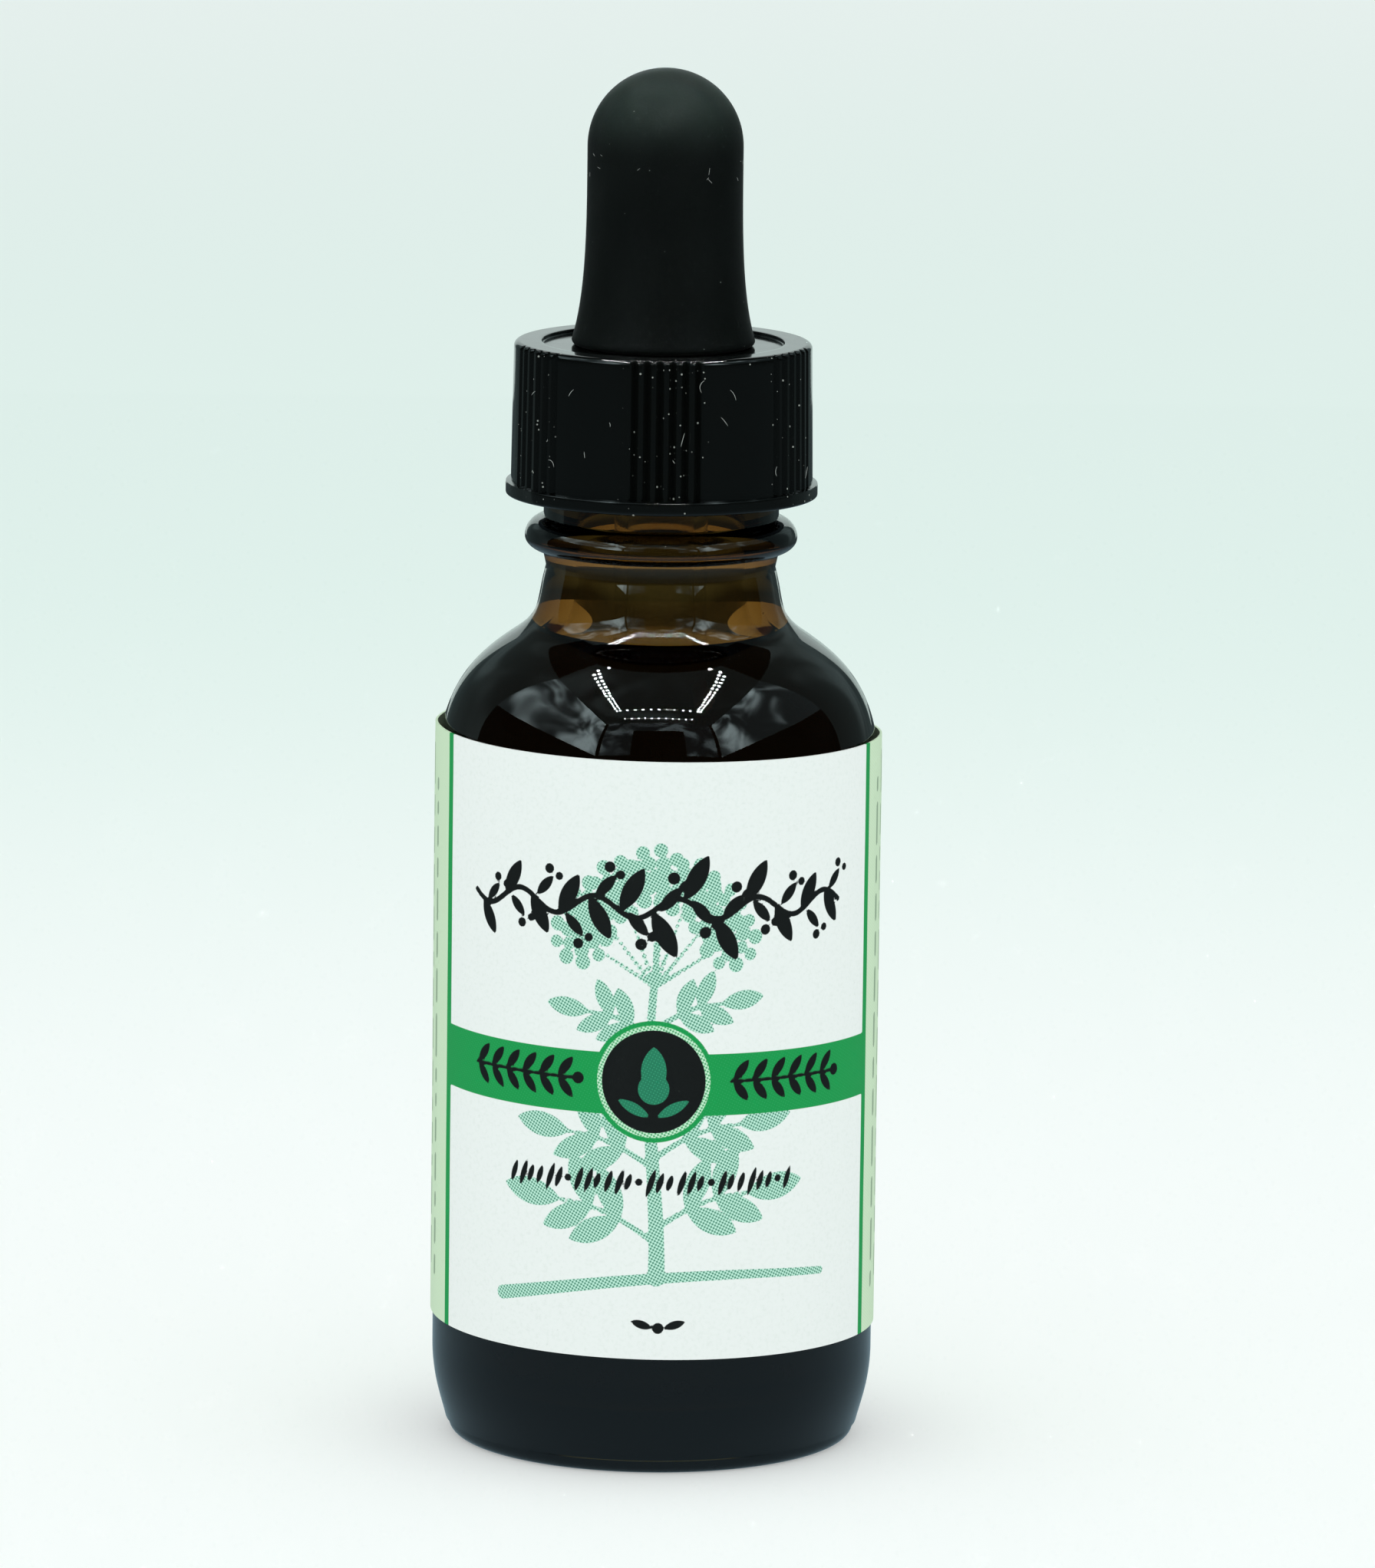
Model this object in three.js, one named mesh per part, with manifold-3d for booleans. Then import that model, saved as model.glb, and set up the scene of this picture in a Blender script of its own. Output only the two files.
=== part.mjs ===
// A 1 oz (30 ml) amber glass Boston round bottle with its dropper closure, filled and labelled.
// Millimetres, +Z up. The origin is the centre of the bottle's foot, on the surface that it stands on.
// The glass bottle holds the tincture and wears a wrap-around paper label. The screw cap clamps the
// rubber bulb's flange on the bottle's lip, and the glass pipette is a push fit in the bulb.

import * as THREE from 'three';
import { mergeVertices } from 'three/addons/utils/BufferGeometryUtils.js';
import Module from 'manifold-3d';

const wasm = await Module();
wasm.setup();

// ---------- driving dimensions ----------

// Bottle: foot, heel and body.
const BODY_R = 16.35;
const REST_RING_R = 12.0; // inner edge of the flat ring that the bottle stands on
const PUSH_UP = 1.3; // depth of the hollow under the base
const FOOT_R = 15.1;
const FOOT_ROUND = 0.8;
const FOOT_TOP_Z = 1.0;
const HEEL_R = 15.35; // the heel ends here, on a small ledge above the foot
const HEEL_Z = 6.6; // the wall draws in below this
const SHOULDER_Z = 49.0; // the wall leans in above this, behind the label's top edge

// Bottle: neck and finish.
const ROOT_R = 10.85; // where the shoulder's dome turns into the neck's hollow curve
const ROOT_Z = 60.25;
const ROOT_SLOPE = 0.67; // rise over run there
const NECK_R = 8.45;
const NECK_Z = 65.3;
const BEAD_R = 8.6; // centre circle of the transfer bead
const BEAD_Z = 67.5;
const BEAD_ROUND = 1.45;
const BEAD_DROP = 1.0; // its underside is flatter
const FINISH_R = 8.68;
const LIP_Z = 78.9;
const LIP_ROUND = 0.5;

// Bottle: inside.
const WALL = 2.25;
const FLOOR_Z = 4.4;
const FLOOR_ROUND = 3.0;
const BORE_R = 6.2;

// Screw thread, shared by the finish and the cap. The cap's ridge runs half a pitch under the bottle's.
const PITCH = 3.175;
const THREAD_ROUND = 0.85;
const NECK_THREAD_R = 8.83;
const NECK_THREAD_Z = [73.9, 77.6];
const CAP_THREAD_R = 9.8;
const CAP_THREAD_Z = [72.5, 76.9];
const RUN_OUT = 0.06; // share of the ridge that sinks into the wall at each end

// Label: a paper strip round the panel, put on slightly askew.
const LABEL_R = 16.55;
const LABEL_INNER_R = 16.38;
const LABEL_Z = [9.0, 53.4];
const LABEL_HALF_WRAP = 172.5; // degrees from the front to each end
const LABEL_SKEW = -0.0119; // rise per millimetre round the bottle

// Tincture.
const LIQUID_Z = 59.8;
const CLEARANCE = 0.3; // room between the tincture and the glass

// Cap.
const CAP_Z = [70.65, 82.0];
const CAP_TOP_R = 10.98; // wall radius under the top fillet
const CAP_WALL_R = 11.12; // wall radius above the flange
const CAP_FILLET = [0.45, 0.42]; // width and height of the rounded edge round its top
const CAP_DISC_R = 8.93; // a disc sunk in the top, where the bulb's foot stands
const CAP_DISC_Z = 81.7;
const CAP_FLANGE_R = 11.5;
const CAP_FLANGE_TOP = 71.6;
const CAP_SLOPE = 0.37; // sloped face between the flange and the wall
const CAP_INNER_R = 9.95;
const CAP_TOP_WALL = 1.4;
const CAP_HOLE_R = 6.3;
const GRIP_GROUPS = 6;
const GRIP_GROOVES = 6; // in each group, with smooth panels between the groups
const GRIP_STEP = 5; // degrees from groove to groove
const GRIP_TURN = -88.5; // degrees from +X to the middle of the front group
const GROOVE_WIDTH = 0.7;
const GROOVE_DEPTH = 0.35;

// Bulb.
const BULB_TOP_Z = 102.15;
const BULB_R = 5.73;
const BULB_STRAIGHT_Z = 95.5; // straight from here up to the dome
const BULB_FOOT_R = 6.75;
const BULB_FOOT_ROUND = 0.35;
const BULB_WALL = 1.35;
const BULB_GROOVE_R = 6.0; // where it passes through the cap
const BULB_FLANGE_R = 8.9;
const BULB_SLEEVE_Z = 86.0; // top of the tight sleeve round the pipette
const SEAT_GAP = 0.05; // where rubber meets glass or cap

// Pipette.
const PIPETTE_R = 3.45;
const PIPETTE_BORE_R = 2.45;
const PIPETTE_Z = [11.5, 87.5];
const PIPETTE_TAPER = 9.0; // length of the drawn tip
const PIPETTE_TIP_R = 1.6;
const PIPETTE_TIP_BORE_R = 0.7;

// Facets round each piece.
const BOTTLE_FACETS = 48;
const CAP_FACETS = 72;
const BULB_FACETS = 32;
const PIPETTE_FACETS = 20;
const RIDGE_SIDES = 10;
const RIDGE_STEPS_PER_TURN = 30;

// ---------- finishes ----------

const AMBER_GLASS = new THREE.MeshStandardMaterial({ color: 0x4a2a0c, roughness: 0.08, metalness: 0 });
const CLEAR_GLASS = new THREE.MeshStandardMaterial({ color: 0xdfe8e4, roughness: 0.05, metalness: 0 });
const PAPER = new THREE.MeshStandardMaterial({ color: 0xf1f6f1, roughness: 0.7, metalness: 0 });
const DARK_TINCTURE = new THREE.MeshStandardMaterial({ color: 0x1a0706, roughness: 0.1, metalness: 0 });
const BLACK_PHENOLIC = new THREE.MeshStandardMaterial({ color: 0x0b0c0c, roughness: 0.25, metalness: 0 });
const BLACK_RUBBER = new THREE.MeshStandardMaterial({ color: 0x161917, roughness: 0.65, metalness: 0 });

// ---------- helpers ----------

const at = (radius, height) => new THREE.Vector2(radius, height);

/** Points of an arc about a centre, from one angle to another in degrees. */
function arc(centre, radius, from, to, steps) {
  return Array.from({ length: steps + 1 }, (_, i) => {
    const angle = THREE.MathUtils.degToRad(from + ((to - from) * i) / steps);
    return at(centre.x + radius * Math.cos(angle), centre.y + radius * Math.sin(angle));
  });
}

/** Points of a cubic curve that leaves its start and reaches its end along their handles. */
function sweep(start, startHandle, endHandle, end, steps) {
  return new THREE.CubicBezierCurve(start, startHandle, endHandle, end).getPoints(steps);
}

/** A closed solid from a geometry: shared vertices merged, slivers dropped, faces outwards. */
function solidFrom(geometry) {
  geometry.deleteAttribute('normal');
  geometry.deleteAttribute('uv');
  const merged = mergeVertices(geometry, 1e-5);
  const corners = merged.index.array;
  const triangles = [];
  for (let i = 0; i < corners.length; i += 3) {
    const [a, b, c] = [corners[i], corners[i + 1], corners[i + 2]];
    if (a !== b && b !== c && c !== a) triangles.push(a, b, c);
  }
  const points = new Float32Array(merged.attributes.position.array);
  const solid = manifoldOf(points, triangles);
  return solid.volume() > 0 ? solid : manifoldOf(points, triangles.reverse());
}

function manifoldOf(points, triangles) {
  return new wasm.Manifold(new wasm.Mesh({
    numProp: 3,
    vertProperties: points,
    triVerts: new Uint32Array(triangles),
  }));
}

/** The solid that a (radius, height) profile sweeps out about Z. It ends on the axis or closes on itself. */
function turned(profile, facets) {
  const points = profile.filter((p, i) => i === 0 || p.distanceTo(profile[i - 1]) > 1e-4);
  const closesItself = points[0].x > 0 && points[0].distanceTo(points.at(-1)) > 1e-4;
  if (closesItself) points.push(points[0].clone());
  return solidFrom(new THREE.LatheGeometry(points, facets).rotateX(Math.PI / 2));
}

/** A named mesh with a solid's faces. */
function piece(name, solid, material) {
  const { vertProperties, triVerts } = solid.getMesh();
  const geometry = new THREE.BufferGeometry();
  geometry.setAttribute('position', new THREE.BufferAttribute(vertProperties, 3));
  geometry.setIndex(new THREE.BufferAttribute(triVerts, 1));
  geometry.computeVertexNormals();
  const mesh = new THREE.Mesh(geometry, material);
  mesh.name = name;
  return mesh;
}

// ---------- screw thread ----------

/** The centre line of a thread's ridge, which sinks into its wall at both ends. */
class RidgeLine extends THREE.Curve {
  constructor(radius, [bottom, top], sinksBy, turnsAhead) {
    super();
    Object.assign(this, { radius, bottom, top, sinksBy, turnsAhead });
  }

  getPoint(t, target = new THREE.Vector3()) {
    const height = THREE.MathUtils.lerp(this.bottom, this.top, t);
    const turn = 2 * Math.PI * (height / PITCH + this.turnsAhead);
    const runOut = Math.max(0, 1 - Math.min(t, 1 - t) / RUN_OUT);
    const radius = this.radius + this.sinksBy * runOut * runOut;
    return target.set(radius * Math.cos(turn), radius * Math.sin(turn), height);
  }
}

function ridge(line) {
  const section = new THREE.Shape().absarc(0, 0, THREAD_ROUND, 0, 2 * Math.PI);
  const turns = (line.top - line.bottom) / PITCH;
  return solidFrom(new THREE.ExtrudeGeometry(section, {
    steps: Math.round(turns * RIDGE_STEPS_PER_TURN),
    extrudePath: line,
    curveSegments: RIDGE_SIDES / 2,
    bevelEnabled: false,
  }));
}

// ---------- bottle ----------

/** The outside of the foot, heel and straight wall, from the axis up to the shoulder. */
function lowerOutside() {
  const footCentre = at(FOOT_R - FOOT_ROUND, FOOT_ROUND);
  const heelHeight = HEEL_Z - FOOT_TOP_Z;
  return [
    ...sweep(at(0, PUSH_UP), at(5, PUSH_UP), at(9, PUSH_UP), at(REST_RING_R, 0), 4),
    ...arc(footCentre, FOOT_ROUND, -90, 0, 4),
    at(FOOT_R, FOOT_TOP_Z),
    ...sweep(at(HEEL_R, FOOT_TOP_Z + 0.1), at(HEEL_R + 0.4, FOOT_TOP_Z + 0.3 * heelHeight),
      at(BODY_R, HEEL_Z - 0.45 * heelHeight), at(BODY_R, HEEL_Z), 5),
  ];
}

/** The shoulder's dome, the neck's hollow curve, the bead and the finish, up to the lip's outer edge. */
function upperOutside() {
  const root = at(ROOT_R, ROOT_Z);
  const lipCentre = at(FINISH_R - LIP_ROUND, LIP_Z - LIP_ROUND);
  const flatten = (p) => at(p.x, p.y < BEAD_Z ? BEAD_Z + ((p.y - BEAD_Z) * BEAD_DROP) / BEAD_ROUND : p.y);
  return [
    ...sweep(at(BODY_R, SHOULDER_Z), at(BODY_R, SHOULDER_Z + 6),
      at(ROOT_R + 3.95, ROOT_Z - 3.95 * ROOT_SLOPE), root, 8),
    ...sweep(root, at(ROOT_R - 2.2, ROOT_Z + 2.2 * ROOT_SLOPE),
      at(NECK_R + 0.75, NECK_Z - 2.8), at(NECK_R, NECK_Z), 5).slice(1),
    ...arc(at(BEAD_R, BEAD_Z), BEAD_ROUND, -85, 80, 7).map(flatten),
    at(FINISH_R, BEAD_Z + BEAD_ROUND + 0.1),
    ...arc(lipCentre, LIP_ROUND, 0, 90, 2),
  ];
}

/** The inside, from the lip down the bore, the shoulder and the wall to the middle of the floor. */
function inside(inset) {
  const wallR = BODY_R - WALL - inset;
  const boreR = BORE_R - inset;
  const floorZ = FLOOR_Z + inset;
  const root = at(9.3 - inset, 58.9 - inset);
  return [
    ...arc(at(boreR + 0.4, LIP_Z - 0.4), 0.4, 90, 180, 2),
    ...sweep(at(boreR, NECK_Z - 0.5), at(boreR, NECK_Z - 4.2),
      at(root.x - 1.7, root.y + 1.4), root, 4),
    ...sweep(root, at(root.x + 2.1, root.y - 1.75), at(wallR, 54), at(wallR, 49), 5).slice(1),
    ...arc(at(wallR - FLOOR_ROUND, floorZ + FLOOR_ROUND), FLOOR_ROUND, 0, -90, 4),
    at(0, floorZ),
  ];
}

function glassBottle() {
  const body = turned([...lowerOutside(), ...upperOutside(), ...inside(0)], BOTTLE_FACETS);
  const thread = ridge(new RidgeLine(NECK_THREAD_R, NECK_THREAD_Z, -1.1, 0));
  return body.add(thread);
}

// ---------- label and tincture ----------

/** A strip bent round the panel. It rises a little along its length, because it was put on askew. */
function paperLabel() {
  const facets = Math.round((2 * LABEL_HALF_WRAP * BOTTLE_FACETS) / 360);
  const turn = -90 - LABEL_HALF_WRAP;
  const outer = arc(at(0, 0), LABEL_R, turn, turn + 2 * LABEL_HALF_WRAP, facets);
  const inner = arc(at(0, 0), LABEL_INNER_R, turn, turn + 2 * LABEL_HALF_WRAP, facets);
  const strip = new THREE.ExtrudeGeometry(new THREE.Shape([...outer, ...inner.reverse()]), {
    depth: LABEL_Z[1] - LABEL_Z[0],
    bevelEnabled: false,
  });
  const places = strip.attributes.position;
  for (let i = 0; i < places.count; i += 1) {
    const fromFront = Math.atan2(places.getX(i), -places.getY(i));
    places.setZ(i, places.getZ(i) + LABEL_Z[0] + LABEL_SKEW * LABEL_R * fromFront);
  }
  return solidFrom(strip);
}

/** The filling: the inside of the bottle up to its level, with room for the pipette. */
function filling() {
  const pool = turned([...inside(CLEARANCE), at(0, LIP_Z)], BOTTLE_FACETS);
  const above = turned([at(0, LIQUID_Z), at(BODY_R, LIQUID_Z), at(BODY_R, LIP_Z + 1), at(0, LIP_Z + 1)],
    BOTTLE_FACETS);
  const roomR = PIPETTE_R + CLEARANCE;
  const room = turned([at(0, PIPETTE_Z[0] - CLEARANCE), at(roomR, PIPETTE_Z[0] - CLEARANCE),
    at(roomR, LIP_Z), at(0, LIP_Z)], PIPETTE_FACETS);
  return pool.subtract(above).subtract(room);
}

// ---------- cap ----------

function capBlank() {
  const [bottom, top] = CAP_Z;
  const [width, height] = CAP_FILLET;
  const rimR = CAP_TOP_R - width;
  const shoulder = arc(at(0, 0), 1, 0, 90, 6);
  return turned([
    at(CAP_INNER_R + 0.35, bottom),
    at(CAP_FLANGE_R - 0.15, bottom),
    at(CAP_FLANGE_R, bottom + 0.15),
    at(CAP_FLANGE_R, CAP_FLANGE_TOP),
    at(CAP_WALL_R, CAP_FLANGE_TOP + CAP_SLOPE),
    ...shoulder.map((p) => at(rimR + width * p.x, top - height * (1 - p.y))),
    at(CAP_DISC_R, top),
    at(CAP_DISC_R, CAP_DISC_Z),
    at(CAP_HOLE_R, CAP_DISC_Z),
    at(CAP_HOLE_R, CAP_DISC_Z - CAP_TOP_WALL),
    at(CAP_INNER_R, CAP_DISC_Z - CAP_TOP_WALL),
    at(CAP_INNER_R, bottom + 0.35),
  ], CAP_FACETS);
}

/** A V cutter along the wall at +X, leaning with the wall's draft. */
function grooveCutter() {
  const wallHeight = CAP_Z[1] - CAP_FLANGE_TOP;
  const outside = 0.4;
  const spread = (GROOVE_WIDTH / 2) * (1 + outside / GROOVE_DEPTH);
  const notch = new THREE.Shape([
    at(-GROOVE_DEPTH, 0),
    at(outside, -spread),
    at(outside, spread),
  ]);
  const cutter = new THREE.ExtrudeGeometry(notch, { depth: wallHeight + 0.2, bevelEnabled: false });
  const lean = Math.atan((CAP_WALL_R - CAP_TOP_R) / (wallHeight - CAP_FILLET[1]));
  cutter.rotateY(-lean).translate(CAP_WALL_R, 0, CAP_FLANGE_TOP);
  return solidFrom(cutter);
}

function screwCap() {
  const cutter = grooveCutter();
  let cap = capBlank();
  for (let group = 0; group < GRIP_GROUPS; group += 1) {
    for (let i = 0; i < GRIP_GROOVES; i += 1) {
      const fromMiddle = (i - (GRIP_GROOVES - 1) / 2) * GRIP_STEP;
      const angle = GRIP_TURN + (group * 360) / GRIP_GROUPS + fromMiddle;
      cap = cap.subtract(cutter.rotate([0, 0, angle]));
    }
  }
  const line = new RidgeLine(CAP_THREAD_R, CAP_THREAD_Z, 1.1, 0.5);
  const withinWall = turned([at(0, CAP_Z[0]), at(CAP_INNER_R + 0.2, CAP_Z[0]),
    at(CAP_INNER_R + 0.2, CAP_Z[1] - 0.5), at(0, CAP_Z[1] - 0.5)], CAP_FACETS);
  return cap.add(ridge(line).intersect(withinWall));
}

// ---------- bulb and pipette ----------

/** The rubber bulb: dome, flared skirt, the groove in the cap's hole, the flange on the lip, the hollow. */
function rubberBulb() {
  const domeCentre = at(0, BULB_TOP_Z - BULB_R);
  const sleeveR = PIPETTE_R + SEAT_GAP;
  const hollowR = BULB_R - BULB_WALL;
  const flangeTop = CAP_DISC_Z - CAP_TOP_WALL - SEAT_GAP;
  const footCentre = at(BULB_FOOT_R - BULB_FOOT_ROUND, CAP_DISC_Z + SEAT_GAP + BULB_FOOT_ROUND);
  return turned([
    ...arc(domeCentre, BULB_R, 90, 0, 7),
    ...sweep(at(BULB_R, BULB_STRAIGHT_Z), at(BULB_R, 90.5), at(BULB_R - 0.01, 85.5),
      at(BULB_FOOT_R, footCentre.y), 6),
    ...arc(footCentre, BULB_FOOT_ROUND, -30, -90, 2),
    at(BULB_GROOVE_R, CAP_DISC_Z + SEAT_GAP),
    at(BULB_GROOVE_R, flangeTop),
    at(BULB_FLANGE_R, flangeTop),
    at(BULB_FLANGE_R, LIP_Z + SEAT_GAP),
    at(sleeveR, LIP_Z + SEAT_GAP),
    at(sleeveR, BULB_SLEEVE_Z),
    at(hollowR, BULB_SLEEVE_Z + 1.2),
    ...arc(domeCentre, hollowR, 0, 90, 5),
  ], BULB_FACETS);
}

/** The glass tube, fire-rounded at its top and drawn down to a tip. */
function glassPipette() {
  const [tipZ, topZ] = PIPETTE_Z;
  const mid = (PIPETTE_R + PIPETTE_BORE_R) / 2;
  const half = (PIPETTE_R - PIPETTE_BORE_R) / 2;
  const taperTop = tipZ + PIPETTE_TAPER;
  return turned([
    at(PIPETTE_TIP_BORE_R, tipZ),
    at(PIPETTE_TIP_R, tipZ),
    ...sweep(at(PIPETTE_TIP_R, tipZ + 1), at(PIPETTE_TIP_R + 0.1, tipZ + 5),
      at(PIPETTE_R, taperTop - 4), at(PIPETTE_R, taperTop), 4),
    ...arc(at(mid, topZ - half), half, 0, 180, 4),
    ...sweep(at(PIPETTE_BORE_R, taperTop), at(PIPETTE_BORE_R, taperTop - 4),
      at(PIPETTE_TIP_BORE_R + 0.1, tipZ + 5), at(PIPETTE_TIP_BORE_R, tipZ + 1), 4),
  ], PIPETTE_FACETS);
}

// ---------- the whole bottle ----------

const dropperBottle = new THREE.Group();
dropperBottle.add(
  piece('glass_bottle', glassBottle(), AMBER_GLASS),
  piece('label', paperLabel(), PAPER),
  piece('tincture', filling(), DARK_TINCTURE),
  piece('screw_cap', screwCap(), BLACK_PHENOLIC),
  piece('rubber_bulb', rubberBulb(), BLACK_RUBBER),
  piece('glass_pipette', glassPipette(), CLEAR_GLASS),
);

export default dropperBottle;
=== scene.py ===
"""An amber glass dropper bottle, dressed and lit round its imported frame.

Each sub-assembly is a class that holds its sizes in millimetres, works its surfaces out with numpy and
dresses them in its own finishes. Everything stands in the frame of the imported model, in metres.
"""

import logging
import math
from collections.abc import Callable
from dataclasses import dataclass
from enum import Enum

import bpy
import numpy as np
from mathutils import Matrix, Vector


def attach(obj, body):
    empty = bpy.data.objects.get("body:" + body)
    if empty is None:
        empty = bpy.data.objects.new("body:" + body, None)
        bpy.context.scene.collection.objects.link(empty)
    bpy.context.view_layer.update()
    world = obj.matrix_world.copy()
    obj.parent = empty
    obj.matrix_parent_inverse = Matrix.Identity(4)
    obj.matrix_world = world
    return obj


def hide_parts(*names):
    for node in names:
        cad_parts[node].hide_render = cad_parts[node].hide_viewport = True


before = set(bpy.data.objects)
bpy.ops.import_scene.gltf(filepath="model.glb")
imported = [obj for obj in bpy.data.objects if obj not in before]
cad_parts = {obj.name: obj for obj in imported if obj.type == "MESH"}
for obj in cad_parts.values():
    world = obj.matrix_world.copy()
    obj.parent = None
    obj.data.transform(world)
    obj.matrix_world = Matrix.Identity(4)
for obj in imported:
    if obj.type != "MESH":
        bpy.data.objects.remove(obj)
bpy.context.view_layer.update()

logging.basicConfig(level=logging.INFO, format="%(message)s")
LOG = logging.getLogger("dropper_bottle")

MM = 0.001
SHEET_UNIT = 100.0  # millimetres of label in one unit of its own map
Points = np.ndarray
Colour = tuple[float, float, float]
Socket = bpy.types.NodeSocket
Material = bpy.types.Material
Piece = bpy.types.Object


# ---------------------------------------------------------------- colours and curves


def srgb(red: float, green: float, blue: float) -> Colour:
    """A linear colour from the three display values, 0 to 255."""
    shares = np.array([red, green, blue]) / 255.0
    linear = np.where(shares <= 0.04045, shares / 12.92, ((shares + 0.055) / 1.055) ** 2.4)
    return tuple(float(v) for v in linear)


def curve(start: tuple, start_handle: tuple, end_handle: tuple, end: tuple, steps: int) -> Points:
    """A cubic curve: each point blends the four controls by the Bernstein weights of its share t.

    Args:
        start: first point, as (radius, height).
        start_handle: control that the curve leaves the start towards.
        end_handle: control that the curve reaches the end from.
        end: last point.
        steps: number of equal steps in t.

    Returns:
        The (steps + 1) by 2 points.
    """
    t = np.linspace(0.0, 1.0, steps + 1)[:, None]
    a, b, c, d = (np.array(p, float) for p in (start, start_handle, end_handle, end))
    return (1 - t) ** 3 * a + 3 * (1 - t) ** 2 * t * b + 3 * (1 - t) * t**2 * c + t**3 * d


def arc(centre: tuple, radius: float, begin: float, end: float, steps: int) -> Points:
    """Points at equal angles, in degrees, round a centre at one radius."""
    angle = np.radians(np.linspace(begin, end, steps + 1))
    return np.c_[centre[0] + radius * np.cos(angle), centre[1] + radius * np.sin(angle)]


def line(start: tuple, end: tuple, steps: int) -> Points:
    """Points at equal steps along a straight line."""
    t = np.linspace(0.0, 1.0, steps + 1)[:, None]
    return (1 - t) * np.array(start, float) + t * np.array(end, float)


def profile_of(*parts: Points | tuple) -> Points:
    """One (radius, height) profile from its parts in order, with repeated points dropped."""
    points = np.vstack([np.atleast_2d(np.array(p, float)) for p in parts])
    apart = np.linalg.norm(np.diff(points, axis=0), axis=1) > 1e-4
    return points[np.r_[True, apart]]


def ease(value: Points) -> Points:
    """The smooth step 3t² − 2t³ of a value cut to between 0 and 1."""
    t = np.clip(value, 0.0, 1.0)
    return t * t * (3 - 2 * t)


# ---------------------------------------------------------------- meshes


@dataclass
class Surface:
    """Corners in millimetres and faces that turn counter-clockwise seen from outside."""

    corners: Points
    faces: list

    def volume_sign(self) -> float:
        """The sign of the enclosed volume, from the fan of each face about its first corner."""
        total = 0.0
        for size in (3, 4):
            group = np.array([f for f in self.faces if len(f) == size], int)
            if not len(group):
                continue
            p = self.corners[group]
            for k in range(1, size - 1):
                total += np.einsum("ij,ij->", p[:, 0], np.cross(p[:, k], p[:, k + 1]))
        return math.copysign(1.0, total)

    def outwards(self) -> "Surface":
        """This surface with its faces turned to point outwards."""
        if self.volume_sign() < 0:
            self.faces = [f[::-1] for f in self.faces]
        return self


def revolve(
    profile: Points,
    azimuths: Points,
    shaped: Callable[[Points, Points, Points], Points] | None = None,
) -> Surface:
    """The closed surface that a profile sweeps out: (r cos a, r sin a, z) for each point and azimuth.

    Args:
        profile: (radius, height) points that start and end on the axis, or else close on themselves.
        azimuths: angles in radians, all the way round.
        shaped: gives the radius at each (radius, height, azimuth), for grooves and threads.

    Returns:
        The surface, with one corner at each pole.
    """
    count, around = len(profile), len(azimuths)
    radius = np.repeat(profile[:, :1], around, axis=1)
    height = np.repeat(profile[:, 1:], around, axis=1)
    azimuth = np.repeat(azimuths[None, :], count, axis=0)
    if shaped is not None:
        radius = shaped(radius, height, azimuth)
    grid = np.stack([radius * np.cos(azimuth), radius * np.sin(azimuth), height], axis=2)
    corners = grid.reshape(-1, 3)
    on_axis = [profile[0, 0] < 1e-6, profile[-1, 0] < 1e-6]
    last = count - 1 if any(on_axis) else count
    row = np.arange(last)
    col = np.arange(around)
    i, j = (m.ravel() for m in np.meshgrid(row, col, indexing="ij"))
    below, above = i, (i + 1) % count
    left, right = j, (j + 1) % around
    low, high = below * around, above * around
    quads = np.c_[low + left, low + right, high + right, high + left]
    keep = np.ones(len(quads), bool)
    faces = []
    if on_axis[0]:
        keep &= i != 0
        ring = around + col
        faces += np.c_[np.zeros_like(col), around + (col + 1) % around, ring].tolist()
    if on_axis[1]:
        keep &= i != count - 2
        base = (count - 2) * around
        pole = np.full_like(col, (count - 1) * around)
        faces += np.c_[pole, base + col, base + (col + 1) % around].tolist()
    faces += quads[keep].tolist()
    return drop_unused(Surface(corners, faces)).outwards()


def drop_unused(surface: Surface) -> Surface:
    """The surface without the corners that no face uses."""
    flat = np.concatenate([np.array(f) for f in surface.faces])
    used, places = np.unique(flat, return_inverse=True)
    sizes = np.array([len(f) for f in surface.faces])
    split = np.split(places, np.cumsum(sizes)[:-1])
    return Surface(surface.corners[used], [f.tolist() for f in split])


def tube(path: Points, radius: float, sides: int = 6) -> Surface:
    """A thin tube: rings of the given radius square to the path's steps, closed at both ends."""
    step = np.gradient(path, axis=0)
    step /= np.linalg.norm(step, axis=1, keepdims=True)
    side = np.cross(step, np.array([0.31, 0.17, 0.93]))
    side /= np.linalg.norm(side, axis=1, keepdims=True)
    up = np.cross(side, step)
    angle = np.linspace(0, 2 * np.pi, sides, endpoint=False)
    taper = np.sqrt(np.clip(np.sin(np.linspace(0.15, np.pi - 0.15, len(path))), 0.1, 1))[:, None, None]
    ring = np.cos(angle)[None, :, None] * side[:, None] + np.sin(angle)[None, :, None] * up[:, None]
    corners = (path[:, None] + radius * taper * ring).reshape(-1, 3)
    i, j = (m.ravel() for m in np.meshgrid(np.arange(len(path) - 1), np.arange(sides), indexing="ij"))
    k = (j + 1) % sides
    faces = np.c_[i * sides + j, i * sides + k, (i + 1) * sides + k, (i + 1) * sides + j].tolist()
    faces.append(list(range(sides))[::-1])
    faces.append(list(range((len(path) - 1) * sides, len(path) * sides)))
    return Surface(corners, faces)


def joined(surfaces: list[Surface]) -> Surface:
    """Several surfaces as one, each still closed on its own."""
    corners, faces, first = [], [], 0
    for surface in surfaces:
        corners.append(surface.corners)
        faces += [[index + first for index in face] for face in surface.faces]
        first += len(surface.corners)
    return Surface(np.vstack(corners), faces)


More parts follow.
